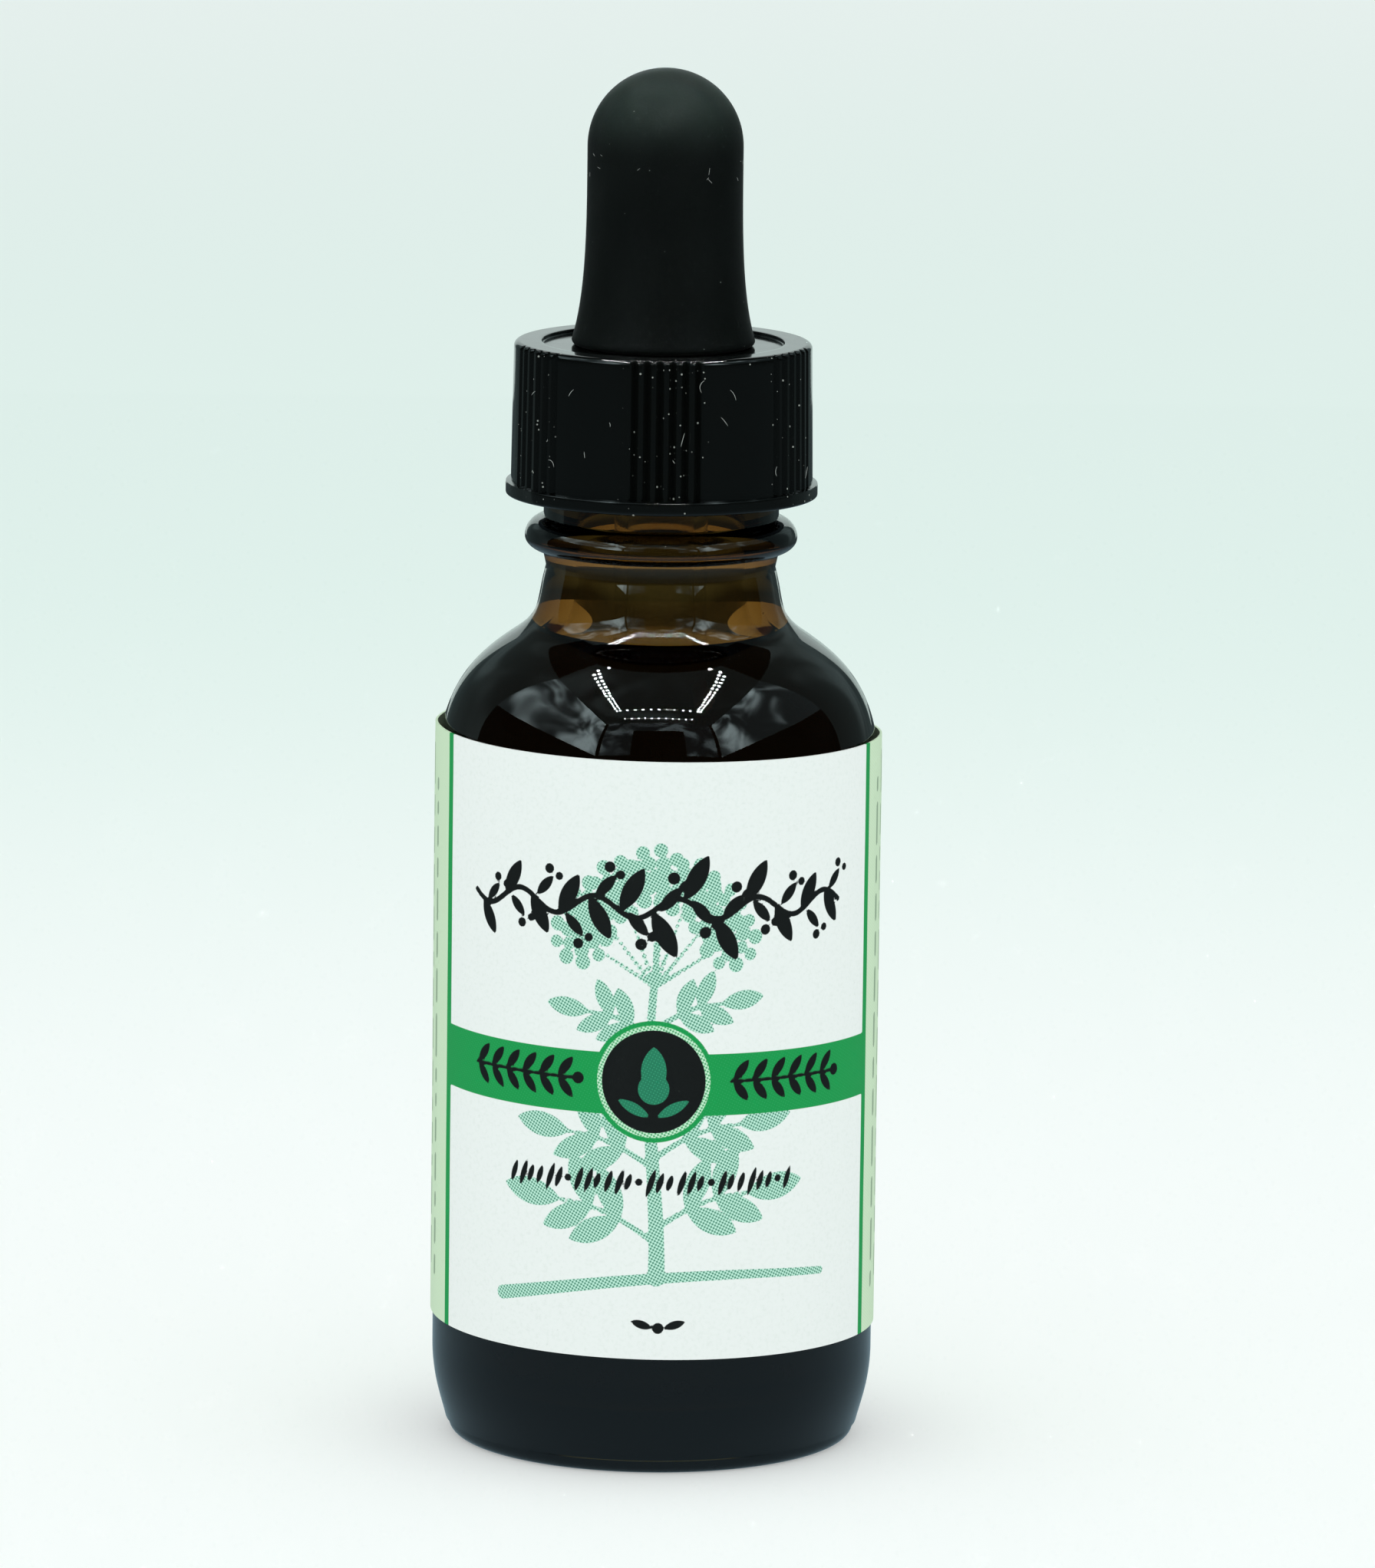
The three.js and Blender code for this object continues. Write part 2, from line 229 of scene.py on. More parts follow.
def build(name: str, surface: Surface, finish: Material, crease: float = 40.0) -> Piece:
    """A mesh object at the origin from a surface in millimetres.

    Args:
        name: name of the piece.
        surface: its corners and faces.
        finish: its material.
        crease: angle in degrees above which an edge stays sharp.

    Returns:
        The new object, linked to the scene.
    """
    mesh = bpy.data.meshes.new(name)
    mesh.from_pydata((surface.corners * MM).tolist(), [], surface.faces)
    mesh.polygons.foreach_set("use_smooth", np.ones(len(mesh.polygons), bool))
    mesh.set_sharp_from_angle(angle=math.radians(crease))
    mesh.materials.append(finish)
    mesh.validate()
    mesh.update()
    piece = bpy.data.objects.new(name, mesh)
    bpy.context.scene.collection.objects.link(piece)
    return piece


def carry(piece: Piece, name: str, values: Points) -> None:
    """Gives each corner of a piece a value that its finish reads by name."""
    held = piece.data.attributes.new(name, "FLOAT", "POINT")
    held.data.foreach_set("value", values.astype(np.float32))


def place(piece: Piece, body: str, slot: str, node: str | None = None) -> None:
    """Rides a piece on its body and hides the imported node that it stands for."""
    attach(piece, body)
    if node:
        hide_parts(node)
    LOG.info("%s: %d faces on %s", piece.name, len(piece.data.polygons), body)


# ---------------------------------------------------------------- node graphs


class Graph:
    """A node tree with short ways to add nodes and join them."""

    def __init__(self, tree: bpy.types.NodeTree) -> None:
        """Takes the tree that nodes are added to."""
        self.tree = tree

    def add(self, kind: str, inputs: dict | None = None, **settings: object) -> bpy.types.Node:
        """A new node.

        Args:
            kind: the node's type, such as ShaderNodeMath.
            inputs: socket name or index to a socket to link from, or a value to hold.
            **settings: the node's own properties.

        Returns:
            The node.
        """
        node = self.tree.nodes.new(kind)
        for key, value in settings.items():
            setattr(node, key, value)
        self.fill(node, inputs or {})
        return node

    def fill(self, node: bpy.types.Node, inputs: dict) -> None:
        """Feeds several of a node's sockets, by name or index."""
        for key, value in inputs.items():
            self.feed(node.inputs[key], value)

    def feed(self, socket: Socket, value: object) -> None:
        """Links a socket to another, or gives it a plain value."""
        if isinstance(value, Socket):
            self.tree.links.new(value, socket)
        elif socket.type == "RGBA" and len(value) == 3:
            socket.default_value = (*value, 1.0)
        else:
            socket.default_value = value

    def math(self, operation: str, a: object, b: object = 0.0, c: object = 0.0) -> Socket:
        """The value of one arithmetic step."""
        return self.add("ShaderNodeMath", {0: a, 1: b, 2: c}, operation=operation).outputs[0]

    def remap(self, value: object, low: float, high: float, *to: float) -> Socket:
        """A value eased from one range to another, by default 0 to 1, and held past both ends."""
        first, last = to or (0.0, 1.0)
        ends = {"From Min": low, "From Max": high, "To Min": first, "To Max": last}
        node = self.add("ShaderNodeMapRange", {"Value": value, **ends}, interpolation_type="SMOOTHSTEP")
        return node.outputs["Result"]

    def mix(self, share: object, a: object, b: object) -> Socket:
        """A colour between two colours."""
        node = self.add("ShaderNodeMix", data_type="RGBA")
        self.fill(node, {0: share, 6: a, 7: b})
        return node.outputs[2]

    def noise(self, where: object, scale: object, detail: float = 3.0, **more: float) -> Socket:
        """Smooth noise between 0 and 1 at so many features a metre."""
        inputs = {"Vector": where, "Scale": scale, "Detail": detail, "Roughness": 0.55, **more}
        return self.add("ShaderNodeTexNoise", inputs).outputs[0]

    def bump(self, height: object, strength: float, distance: float) -> Socket:
        """The normal of a surface whose height varies, by up to a distance in metres."""
        inputs = {"Strength": strength, "Distance": distance, "Height": height}
        return self.add("ShaderNodeBump", inputs).outputs[0]

    def attribute(self, name: str) -> Socket:
        """A value that the mesh carries at each corner."""
        return self.add("ShaderNodeAttribute", attribute_name=name).outputs["Fac"]

    def object_place(self) -> Socket:
        """The point on the object, in metres."""
        return self.add("ShaderNodeTexCoord").outputs["Object"]

    def height(self, where: object) -> Socket:
        """The height of a point."""
        return self.add("ShaderNodeSeparateXYZ", {0: where}).outputs[2]


def new_group(name: str, place_name: str, numbers: dict[str, float], result: str) -> tuple:
    """An empty shader node group that takes a point and some numbers, and puts out one value.

    Args:
        name: the group's name.
        place_name: name of the point's input.
        numbers: name and first value of each other input.
        result: name of the output.

    Returns:
        The group, its graph, its input node's outputs and the socket that takes the value.
    """
    group = bpy.data.node_groups.new(name, "ShaderNodeTree")
    sockets = group.interface
    sockets.new_socket(name=place_name, in_out="INPUT", socket_type="NodeSocketVector")
    for key, value in numbers.items():
        sockets.new_socket(name=key, in_out="INPUT", socket_type="NodeSocketFloat").default_value = value
    sockets.new_socket(name=result, in_out="OUTPUT", socket_type="NodeSocketFloat")
    g = Graph(group)
    given = g.add("NodeGroupInput").outputs
    return group, g, given, g.add("NodeGroupOutput").inputs[result]


class SharedEffects:
    """Effects that several finishes use, each a node group that is built once."""

    def __init__(self) -> None:
        """Builds the groups."""
        self.dust = self._dust()
        self.swell = self._ripple()
        self.screen = self._screen()

    @staticmethod
    def _dust() -> bpy.types.NodeTree:
        """Specks: a small disc about the point of each cell of a random lattice, in some cells only."""
        numbers = {"Cells": 900.0, "Size": 0.1, "Share": 0.2}
        group, g, given, mask = new_group("dust_specks", "Place", numbers, "Mask")
        lattice = {"Vector": given["Place"], "Scale": given["Cells"], "Randomness": 1.0}
        cells = g.add("ShaderNodeTexVoronoi", lattice).outputs
        parts = g.add("ShaderNodeSeparateColor", {0: cells["Color"]}).outputs
        size = g.math("MULTIPLY", given["Size"], g.math("ADD", parts[1], 0.35))
        edge = {"From Min": size, "From Max": g.math("MULTIPLY", size, 0.55), "To Min": 0.0, "To Max": 1.0}
        disc = g.add("ShaderNodeMapRange", {"Value": cells["Distance"], **edge}).outputs["Result"]
        g.feed(mask, g.math("MULTIPLY", disc, g.math("LESS_THAN", parts[0], given["Share"])))
        return group

    @staticmethod
    def _ripple() -> bpy.types.NodeTree:
        """Height of an uneven surface: a broad swell plus a share of finer noise."""
        numbers = {"Broad": 120.0, "Fine": 900.0, "Fine Share": 0.2}
        group, g, given, height = new_group("surface_ripple", "Place", numbers, "Height")
        broad = g.noise(given["Place"], given["Broad"], 2.0)
        fine = g.noise(given["Place"], given["Fine"])
        g.feed(height, g.math("MULTIPLY_ADD", fine, given["Fine Share"], broad))
        return group

    @staticmethod
    def _screen() -> bpy.types.NodeTree:
        """A printer's dot screen: the mean of two cosines across a turned grid, 1 at each dot's middle."""
        numbers = {"Pitch": 0.216, "Turn": 0.47}
        group, g, given, value = new_group("dot_screen", "Sheet", numbers, "Value")
        turn = {"Vector": given["Sheet"], "Angle": given["Turn"]}
        turned = g.add("ShaderNodeVectorRotate", turn, rotation_type="Z_AXIS").outputs[0]
        parts = g.add("ShaderNodeSeparateXYZ", {0: turned}).outputs
        waves = []
        for part in (parts[0], parts[1]):
            phase = g.math("MULTIPLY", g.math("DIVIDE", part, given["Pitch"]), 2 * math.pi)
            waves.append(g.math("COSINE", phase))
        g.feed(value, g.math("MULTIPLY_ADD", g.math("ADD", *waves), 0.25, 0.5))
        return group

    @staticmethod
    def _use(g: Graph, group: bpy.types.NodeTree, inputs: dict) -> Socket:
        """Places a shared group in a graph and returns its one output."""
        node = g.add("ShaderNodeGroup", node_tree=group)
        g.fill(node, inputs)
        return node.outputs[0]

    def specks(self, g: Graph, where: object, cells: float, size: float, share: float) -> Socket:
        """Dust: cells a metre, a disc's size in its cell, and the share of cells that hold one."""
        return self._use(g, self.dust, {"Place": where, "Cells": cells, "Size": size, "Share": share})

    def ripple(self, g: Graph, where: object, broad: float, fine: float, share: float) -> Socket:
        """A height with so many broad and fine features a metre, and the fine ones' share."""
        return self._use(g, self.swell, {"Place": where, "Broad": broad, "Fine": fine, "Fine Share": share})

    def dots(self, g: Graph, sheet: object) -> Socket:
        """The dot screen at a place on the sheet, in millimetres."""
        return self._use(g, self.screen, {"Sheet": sheet})


def new_material(name: str, kind: str = "ShaderNodeBsdfPrincipled") -> tuple:
    """A material with one shader on its surface.

    Args:
        name: the material's name.
        kind: the shader's type.

    Returns:
        The material, its graph, the shader and the output node.
    """
    material = bpy.data.materials.new(name)
    material.use_nodes = True
    material.node_tree.nodes.clear()
    g = Graph(material.node_tree)
    shader = g.add(kind)
    out = g.add("ShaderNodeOutputMaterial", {"Surface": shader.outputs[0]})
    return material, g, shader, out


# ---------------------------------------------------------------- finishes


@dataclass(frozen=True)
class Finish:
    """A finish: one shader, fed with the inputs that the finish works out."""

    name: str = "finish"

    def inputs(self, g: Graph, where: Socket, effects: SharedEffects) -> dict:
        """The shader's inputs by name, each a plain value or a socket."""
        return {}

    def depth(self, g: Graph) -> Socket | None:
        """What the light meets inside the piece, if it goes in at all."""
        return None

    def material(self, effects: SharedEffects) -> Material:
        """The finish as a Blender material."""
        made, g, shader, out = new_material(self.name)
        g.fill(shader, self.inputs(g, g.object_place(), effects))
        depth = self.depth(g)
        if depth:
            g.feed(out.inputs["Volume"], depth)
        return made


@dataclass(frozen=True)
class AmberGlass(Finish):
    """Blown amber glass: clear, with a slow ripple and dust, and darker the further light goes in it."""

    name: str = "amber_glass"
    tint: Colour = (0.94, 0.89, 0.76)
    dust: Colour = srgb(222, 226, 214)
    absorb: Colour = (0.60, 0.44, 0.08)
    absorb_density: float = 700.0
    index: float = 1.52
    roughness: float = 0.012

    def inputs(self, g: Graph, where: Socket, effects: SharedEffects) -> dict:
        """The shader's inputs, worked out at each place on the piece."""
        swell = effects.ripple(g, where, broad=260.0, fine=1500.0, share=0.05)
        specks = effects.specks(g, where, cells=420.0, size=0.05, share=0.16)
        return {
            "Metallic": 0.0,
            "Transmission Weight": 1.0,
            "IOR": self.index,
            "Specular IOR Level": 0.5,
            "Base Color": g.mix(specks, self.tint, self.dust),
            "Roughness": g.math("MULTIPLY_ADD", specks, 0.6, self.roughness),
            "Normal": g.bump(swell, 0.12, 0.00004),
        }

    def depth(self, g: Graph) -> Socket:
        """The glass's own colour, which takes more of the light the further it goes."""
        inputs = {"Color": self.absorb, "Density": self.absorb_density}
        return g.add("ShaderNodeVolumeAbsorption", inputs).outputs[0]


@dataclass(frozen=True)
class ClearGlass(Finish):
    """Drawn soda glass with a faint smear of tincture on it."""

    name: str = "clear_glass"
    tint: Colour = (0.93, 0.96, 0.95)
    smear: Colour = (0.80, 0.62, 0.42)
    index: float = 1.5
    roughness: float = 0.02

    def inputs(self, g: Graph, where: Socket, effects: SharedEffects) -> dict:
        """The shader's inputs, worked out at each place on the piece."""
        smear = effects.ripple(g, where, broad=300.0, fine=2200.0, share=0.4)
        return {
            "Metallic": 0.0,
            "Transmission Weight": 1.0,
            "IOR": self.index,
            "Base Color": g.mix(g.remap(smear, 0.55, 0.95, 0.0, 0.5), self.tint, self.smear),
            "Roughness": g.remap(smear, 0.5, 1.0, self.roughness, self.roughness + 0.08),
        }


@dataclass(frozen=True)
class DarkTincture(Finish):
    """A steeped berry tincture so deep that it reads black, maroon where it thins, with a wet top."""

    name: str = "tincture"
    deep: Colour = (0.0016, 0.0004, 0.0004)
    thin: Colour = (0.010, 0.0012, 0.0008)
    top_low: float = 0.0596
    top_high: float = 0.0598
    gloss_by_glass: float = 0.12
    gloss_on_top: float = 0.6

    def inputs(self, g: Graph, where: Socket, effects: SharedEffects) -> dict:
        """The shader's inputs, worked out at each place on the piece."""
        cloud = effects.ripple(g, where, broad=180.0, fine=700.0, share=0.3)
        gloss = (self.gloss_by_glass, self.gloss_on_top)
        return {
            "Specular IOR Level": g.remap(g.height(where), self.top_low, self.top_high, *gloss),
            "Base Color": g.mix(g.remap(cloud, 0.4, 0.9), self.deep, self.thin),
            "Roughness": g.remap(cloud, 0.3, 0.9, 0.03, 0.07),
        }


@dataclass(frozen=True)
class BlackPhenolic(Finish):
    """Moulded black phenolic: glossy, faintly flowed, with dust on it that gathers in the grooves."""

    name: str = "black_phenolic"
    body: Colour = (0.0022, 0.0027, 0.0025)
    dust: Colour = (0.40, 0.42, 0.39)
    roughness: float = 0.07

    def inputs(self, g: Graph, where: Socket, effects: SharedEffects) -> dict:
        """The shader's inputs, worked out at each place on the piece."""
        flow = effects.ripple(g, where, broad=420.0, fine=3200.0, share=0.25)
        fine = effects.specks(g, where, cells=1900.0, size=0.1, share=0.03)
        caught = effects.specks(g, where, cells=2400.0, size=0.17, share=0.34)
        specks = g.math("MAXIMUM", fine, g.math("MULTIPLY", caught, g.attribute("groove")))
        polish = g.remap(flow, 0.3, 0.9, self.roughness, self.roughness + 0.06)
        return {
            "Specular IOR Level": 0.5,
            "Base Color": g.mix(specks, self.body, self.dust),
            "Roughness": g.math("MULTIPLY_ADD", specks, 0.7, polish),
            "Normal": g.bump(flow, 0.2, 0.00003),
        }


@dataclass(frozen=True)
class BlackRubber(Finish):
    """Matt black rubber with a patchy soft bloom, a painted highlight that lightens its dome, fine grain
    and lint.
    """

    name: str = "black_rubber"
    body: Colour = (0.0020, 0.0031, 0.0027)
    bloom: Colour = (0.0040, 0.0060, 0.0053)
    # Colour of the painted highlight on the dome top.
    painted_highlight: Colour = (0.0165, 0.027, 0.023)
    lint: Colour = (0.22, 0.25, 0.23)
    # Heights over which the painted highlight comes in.
    highlight_low: float = 0.0955
    highlight_high: float = 0.1012
    roughness: float = 0.5

    def inputs(self, g: Graph, where: Socket, effects: SharedEffects) -> dict:
        """The shader's inputs, worked out at each place on the piece."""
        grain = effects.ripple(g, where, broad=700.0, fine=5200.0, share=0.6)
        specks = effects.specks(g, where, cells=1700.0, size=0.085, share=0.09)
        cloud = g.noise(where, 160.0, 2.0)
        # Painted highlight: the colour lightens up the dome, where the lamp above would light it.
        dome = g.remap(g.height(where), self.highlight_low, self.highlight_high, 0.0, 0.8)
        base = g.mix(g.remap(cloud, 0.35, 0.8, 0.0, 0.45), self.body, self.bloom)
        return {
            "Specular IOR Level": 0.12,
            "Sheen Weight": 0.02,
            "Sheen Roughness": 0.4,
            "Base Color": g.mix(specks, g.mix(dome, base, self.painted_highlight), self.lint),
            "Roughness": g.remap(cloud, 0.3, 0.8, self.roughness, self.roughness + 0.1),
            "Normal": g.bump(grain, 0.5, 0.00003),
        }


@dataclass(frozen=True)
class PrintedPaper(Finish):
    """Coated white paper printed in green and black inks, with a dot screen where an ink is a tint."""

    name: str = "label_paper"
    paper: Colour = srgb(247, 249, 248)
    fibre: Colour = srgb(229, 234, 230)
    dust: Colour = srgb(150, 160, 152)
    side: Colour = srgb(216, 238, 206)
    mint: Colour = srgb(200, 242, 224)
    teal: Colour = srgb(84, 152, 128)
    green: Colour = srgb(0, 160, 78)
    pale_dot: Colour = srgb(44, 176, 106)
    halo: Colour = srgb(205, 244, 214)
    halo_dot: Colour = srgb(90, 176, 120)
    black: Colour = srgb(20, 23, 22)
    emblem: Colour = srgb(28, 132, 96)
    emblem_dot: Colour = srgb(60, 172, 132)
    greek: Colour = srgb(120, 146, 120)
    edge: float = 0.03

    def inputs(self, g: Graph, where: Socket, effects: SharedEffects) -> dict:
        """The shader's inputs, worked out at each place on the piece."""
        sheet = g.add("ShaderNodeUVMap", uv_map="sheet").outputs[0]
        to_mm = {0: sheet, 1: (SHEET_UNIT, SHEET_UNIT, 0.0)}
        screen = effects.dots(g, g.add("ShaderNodeVectorMath", to_mm, operation="MULTIPLY").outputs[0])
        fibres = g.noise(where, 3600.0, Roughness=0.6)
        specks = effects.specks(g, where, cells=2600.0, size=0.14, share=0.12)

        def ink(name: str) -> Socket:
            """Where an ink lies: 1 inside its outline, from the distance to the outline in millimetres."""
            return g.remap(g.attribute(name), self.edge, -self.edge)

        paper = g.mix(g.remap(fibres, 0.45, 0.75, 0.0, 0.35), self.paper, self.fibre)
        dots = g.remap(screen, 0.42, 0.66)
        solid = g.mix(g.remap(screen, 0.8, 0.96, 0.0, 0.7), self.green, self.pale_dot)
        black = ink("black")
        layers = (
            (ink("side_panel"), g.mix(g.math("MULTIPLY", dots, 0.10), self.side, self.greek)),
            (ink("sprig"), g.mix(dots, self.mint, self.teal)),
            (ink("green"), solid),
            (ink("halo"), g.mix(dots, self.halo, self.halo_dot)),
            (ink("ring"), solid),
            (g.math("MULTIPLY", ink("greek"), 0.75), self.greek),
            (black, self.black),
            (ink("emblem"), g.mix(g.remap(screen, 0.72, 0.95, 0.0, 0.8), self.emblem, self.emblem_dot)),
        )
        colour = g.mix(g.math("MULTIPLY", specks, 0.16), paper, self.dust)
        for share, shade in layers:
            colour = g.mix(share, colour, shade)
        return {
            "Specular IOR Level": 0.3,
            "Base Color": colour,
            "Roughness": g.math("MULTIPLY_ADD", black, -0.12, 0.62),
            "Normal": g.bump(fibres, 0.35, 0.00002),
        }


@dataclass(frozen=True)
class Lint(Finish):
    """Pale textile fibre."""

    name: str = "lint"
    low: Colour = (0.42, 0.44, 0.42)
    high: Colour = (0.7, 0.72, 0.7)

    def inputs(self, g: Graph, where: Socket, effects: SharedEffects) -> dict:
        """The shader's inputs, worked out at each place on the piece."""
        shade = g.noise(where, 2500.0, 1.0)
        return {"Base Color": g.mix(shade, self.low, self.high), "Roughness": 0.9}


# ---------------------------------------------------------------- bottle


@dataclass
class ScrewThread:
    """A helical ridge that runs into its wall at both ends."""

    centre_radius: float
    bottom: float
    top: float
    turns_ahead: float
    pitch: float = 3.175
    ridge_round: float = 0.85
    sinks_by: float = 1.1
    run_out: float = 0.06

    def reach(self, height: Points, azimuth: Points) -> Points:
        """How far the ridge stands past its centre radius at each height and azimuth.

        The ridge's centre climbs one pitch a turn. At each point the nearest turn of the centre is taken,
        and the ridge stands by the root of its radius squared less the axial distance squared. Near its
        two ends the centre sinks by the square of the share that is left.

        Args:
            height: heights in millimetres.
            azimuth: angles in radians.

        Returns:
            The reach in millimetres, or minus infinity where the ridge doesn't come.
        """
        start = self.pitch * (azimuth / (2 * np.pi) - self.turns_ahead)
        centre = start + self.pitch * np.round((height - start) / self.pitch)
        span = self.top - self.bottom
        share = (centre - self.bottom) / span
        inside = (share >= 0) & (share <= 1)
        end = np.clip(1 - np.minimum(share, 1 - share) / self.run_out, 0, 1)
        rise = self.ridge_round**2 - (height - centre) ** 2
        stands = np.sqrt(np.clip(rise, 0, None)) - self.sinks_by * end**2
        return np.where(inside & (rise > 0), stands, -np.inf)


@dataclass
class GlassBottle:
    """The round bottle: hollow foot, straight body, domed shoulder, waisted neck, bead and finish."""

    body_r: float = 16.35
    rest_r: float = 12.0
    push_up: float = 1.3
    foot_r: float = 15.1
    foot_round: float = 0.8
    foot_top: float = 1.0
    heel_r: float = 15.35
    heel_z: float = 6.6
    shoulder_z: float = 49.0
    root: tuple = (10.85, 60.25)
    root_slope: float = 0.67
    neck: tuple = (8.45, 65.3)
    bead: tuple = (8.6, 67.5)
    bead_round: float = 1.45
    bead_drop: float = 1.0
    finish_r: float = 8.68
    lip_z: float = 78.9
    lip_round: float = 0.5
    wall: float = 2.25
    floor_z: float = 4.4
    floor_round: float = 3.0
    bore_r: float = 6.2
    around: int = 288

    def outside(self) -> Points:
        """The outside profile, from the axis under the base up to the lip."""
        heel = self.heel_z - self.foot_top
        root_r, root_z = self.root
        bead = arc(self.bead, self.bead_round, -85, 80, 36)
        low = bead[:, 1] < self.bead[1]
        bead[low, 1] = self.bead[1] + (bead[low, 1] - self.bead[1]) * self.bead_drop / self.bead_round
        finish_foot = self.bead[1] + self.bead_round + 0.1
        return profile_of(
            curve((0, self.push_up), (5, self.push_up), (9, self.push_up), (self.rest_r, 0), 20),
            arc((self.foot_r - self.foot_round, self.foot_round), self.foot_round, -90, 0, 12),
            (self.foot_r, self.foot_top),
            curve(
                (self.heel_r, self.foot_top + 0.1),
                (self.heel_r + 0.4, self.foot_top + 0.3 * heel),
                (self.body_r, self.heel_z - 0.45 * heel),
                (self.body_r, self.heel_z),
                20,
            ),
            line((self.body_r, self.heel_z), (self.body_r, self.shoulder_z), 10),
            curve(
                (self.body_r, self.shoulder_z),
                (self.body_r, self.shoulder_z + 6),
                (root_r + 3.95, root_z - 3.95 * self.root_slope),
                (root_r, root_z),
                44,
            ),
            curve(
                (root_r, root_z),
                (root_r - 2.2, root_z + 2.2 * self.root_slope),
                (self.neck[0] + 0.75, self.neck[1] - 2.8),
                self.neck,
                30,
            ),
            bead,
            line((self.finish_r, finish_foot), (self.finish_r, self.lip_z - self.lip_round), 48),
            arc((self.finish_r - self.lip_round, self.lip_z - self.lip_round), self.lip_round, 0, 90, 6),
        )

    def inside(self, inset: float = 0.0) -> Points:
        """The inside profile from the lip to the middle of the floor, or a surface that far within it."""
        wall_r = self.body_r - self.wall - inset
        bore_r = self.bore_r - inset
        floor_z = self.floor_z + inset
        root = (9.3 - inset, 58.9 - inset)
        return profile_of(
            arc((bore_r + 0.4, self.lip_z - 0.4), 0.4, 90, 180, 6),
            line((bore_r, self.lip_z - 0.4), (bore_r, self.neck[1] - 0.5), 10),
            curve(
                (bore_r, self.neck[1] - 0.5),
                (bore_r, self.neck[1] - 4.2),
                (root[0] - 1.7, root[1] + 1.4),
                root,
                24,
            ),
            curve(root, (root[0] + 2.1, root[1] - 1.75), (wall_r, 54), (wall_r, 49), 30),
            line((wall_r, 49), (wall_r, floor_z + self.floor_round), 8),
            arc((wall_r - self.floor_round, floor_z + self.floor_round), self.floor_round, 0, -90, 12),
            line((wall_r - self.floor_round, floor_z), (0, floor_z), 6),
        )

    def surface(self) -> Surface:
        """The glass: the profile turned about the axis, with the thread and a faint mould seam on it."""
        thread = ScrewThread(centre_radius=8.83, bottom=73.9, top=77.6, turns_ahead=0.0)

        def shaped(radius: Points, height: Points, azimuth: Points) -> Points:
            """The wall, or the ridge where it stands out further, plus a seam bump on each side."""
            on_finish = np.abs(radius - self.finish_r) < 1e-3
            ridge = thread.centre_radius + thread.reach(height, np.mod(azimuth, 2 * np.pi))
            radius = np.where(on_finish, np.maximum(radius, ridge), radius)
            from_seam = np.abs(np.mod(azimuth + np.pi / 2, np.pi) - np.pi / 2) * radius
            outer = (radius > 8.2) & (height > 3) & (height < 66) & (radius > self.bore_r + 2.2)
            seam = 0.02 * np.exp(-((from_seam / 0.12) ** 2))
            on_wall = outer & ((height > self.shoulder_z + 5) | (radius > self.body_r - 0.5))
            return radius + np.where(on_wall, seam, 0.0)

        azimuths = np.linspace(0, 2 * np.pi, self.around, endpoint=False)
        return revolve(profile_of(self.outside(), self.inside()), azimuths, shaped)

    def filling(self, level: float = 59.8) -> Surface:
        """The tincture: the inside of the bottle to its level, with a ring that climbs the glass.

        The top is flat and rises to the wall by an exponential of the distance to it.
        """
        inner = self.inside(-0.02)
        below = inner[inner[:, 1] < level]
        edge_r = float(np.interp(level, inner[::-1, 1], inner[::-1, 0]))
        climb, climb_wide = 0.35, 0.7
        radii = np.r_[0.0, np.linspace(1.0, edge_r - 2.5, 8), np.linspace(edge_r - 2.2, edge_r, 12)]
        top = np.c_[radii, level + climb * np.exp((radii - edge_r) / climb_wide)]
        azimuths = np.linspace(0, 2 * np.pi, 144, endpoint=False)
        return revolve(profile_of(top, below), azimuths)

    def make(self, effects: SharedEffects) -> None:
        """Builds and places the glass and the tincture."""
        glass = build("bottle_glass", self.surface(), AmberGlass().material(effects))
        place(glass, "bottle", "amber_glass", "glass_bottle")
        liquid = build("tincture_body", self.filling(), DarkTincture().material(effects))
        place(liquid, "bottle", "tincture", "tincture")


# ---------------------------------------------------------------- label


class Artwork:
    """Outlines on the flat sheet, each as the distance to it in millimetres and negative inside."""

    def __init__(self, across: Points, up: Points) -> None:
        """Takes the sheet's coordinates, in millimetres from the front's middle and from its lower edge."""
        self.u = across
        self.v = up

    def nothing(self) -> Points:
        """A distance that is far outside everywhere."""
        return np.full_like(self.u, 9.0)

    def bar(self, u: float, v: float, half_u: float, half_v: float) -> Points:
        """An upright rectangle: the greater of the two distances past its sides."""
        return np.maximum(np.abs(self.u - u) - half_u, np.abs(self.v - v) - half_v)

    def disc(self, u: float, v: float, radius: float) -> Points:
        """A disc."""
        return np.hypot(self.u - u, self.v - v) - radius

    def leaf(self, u: float, v: float, length: float, width: float, turn: float) -> Points:
        """A leaf from its foot at (u, v): where two circles through foot and tip overlap."""
        half = length / 2
        radius = (half**2 + (width / 2) ** 2) / width
        along, up = math.cos(turn), math.sin(turn)
        du, dv = self.u - (u + half * along), self.v - (v + half * up)
        x, y = du * along + dv * up, dv * along - du * up
        return np.hypot(x, np.abs(y) + radius - width / 2) - radius

    def stem(self, path: Points, thick: float, thin: float) -> Points:
        """A stroke along a path: the least distance to any of its points, less a width that tapers."""
        best = self.nothing()
        widths = np.linspace(thick, thin, len(path)) / 2
        for (u, v), half in zip(path, widths):
            best = np.minimum(best, np.hypot(self.u - u, self.v - v) - half)
        return best


def union(*shapes: Points) -> Points:
    """The outline round all the given ones: the least of their distances."""
    return np.minimum.reduce(shapes)


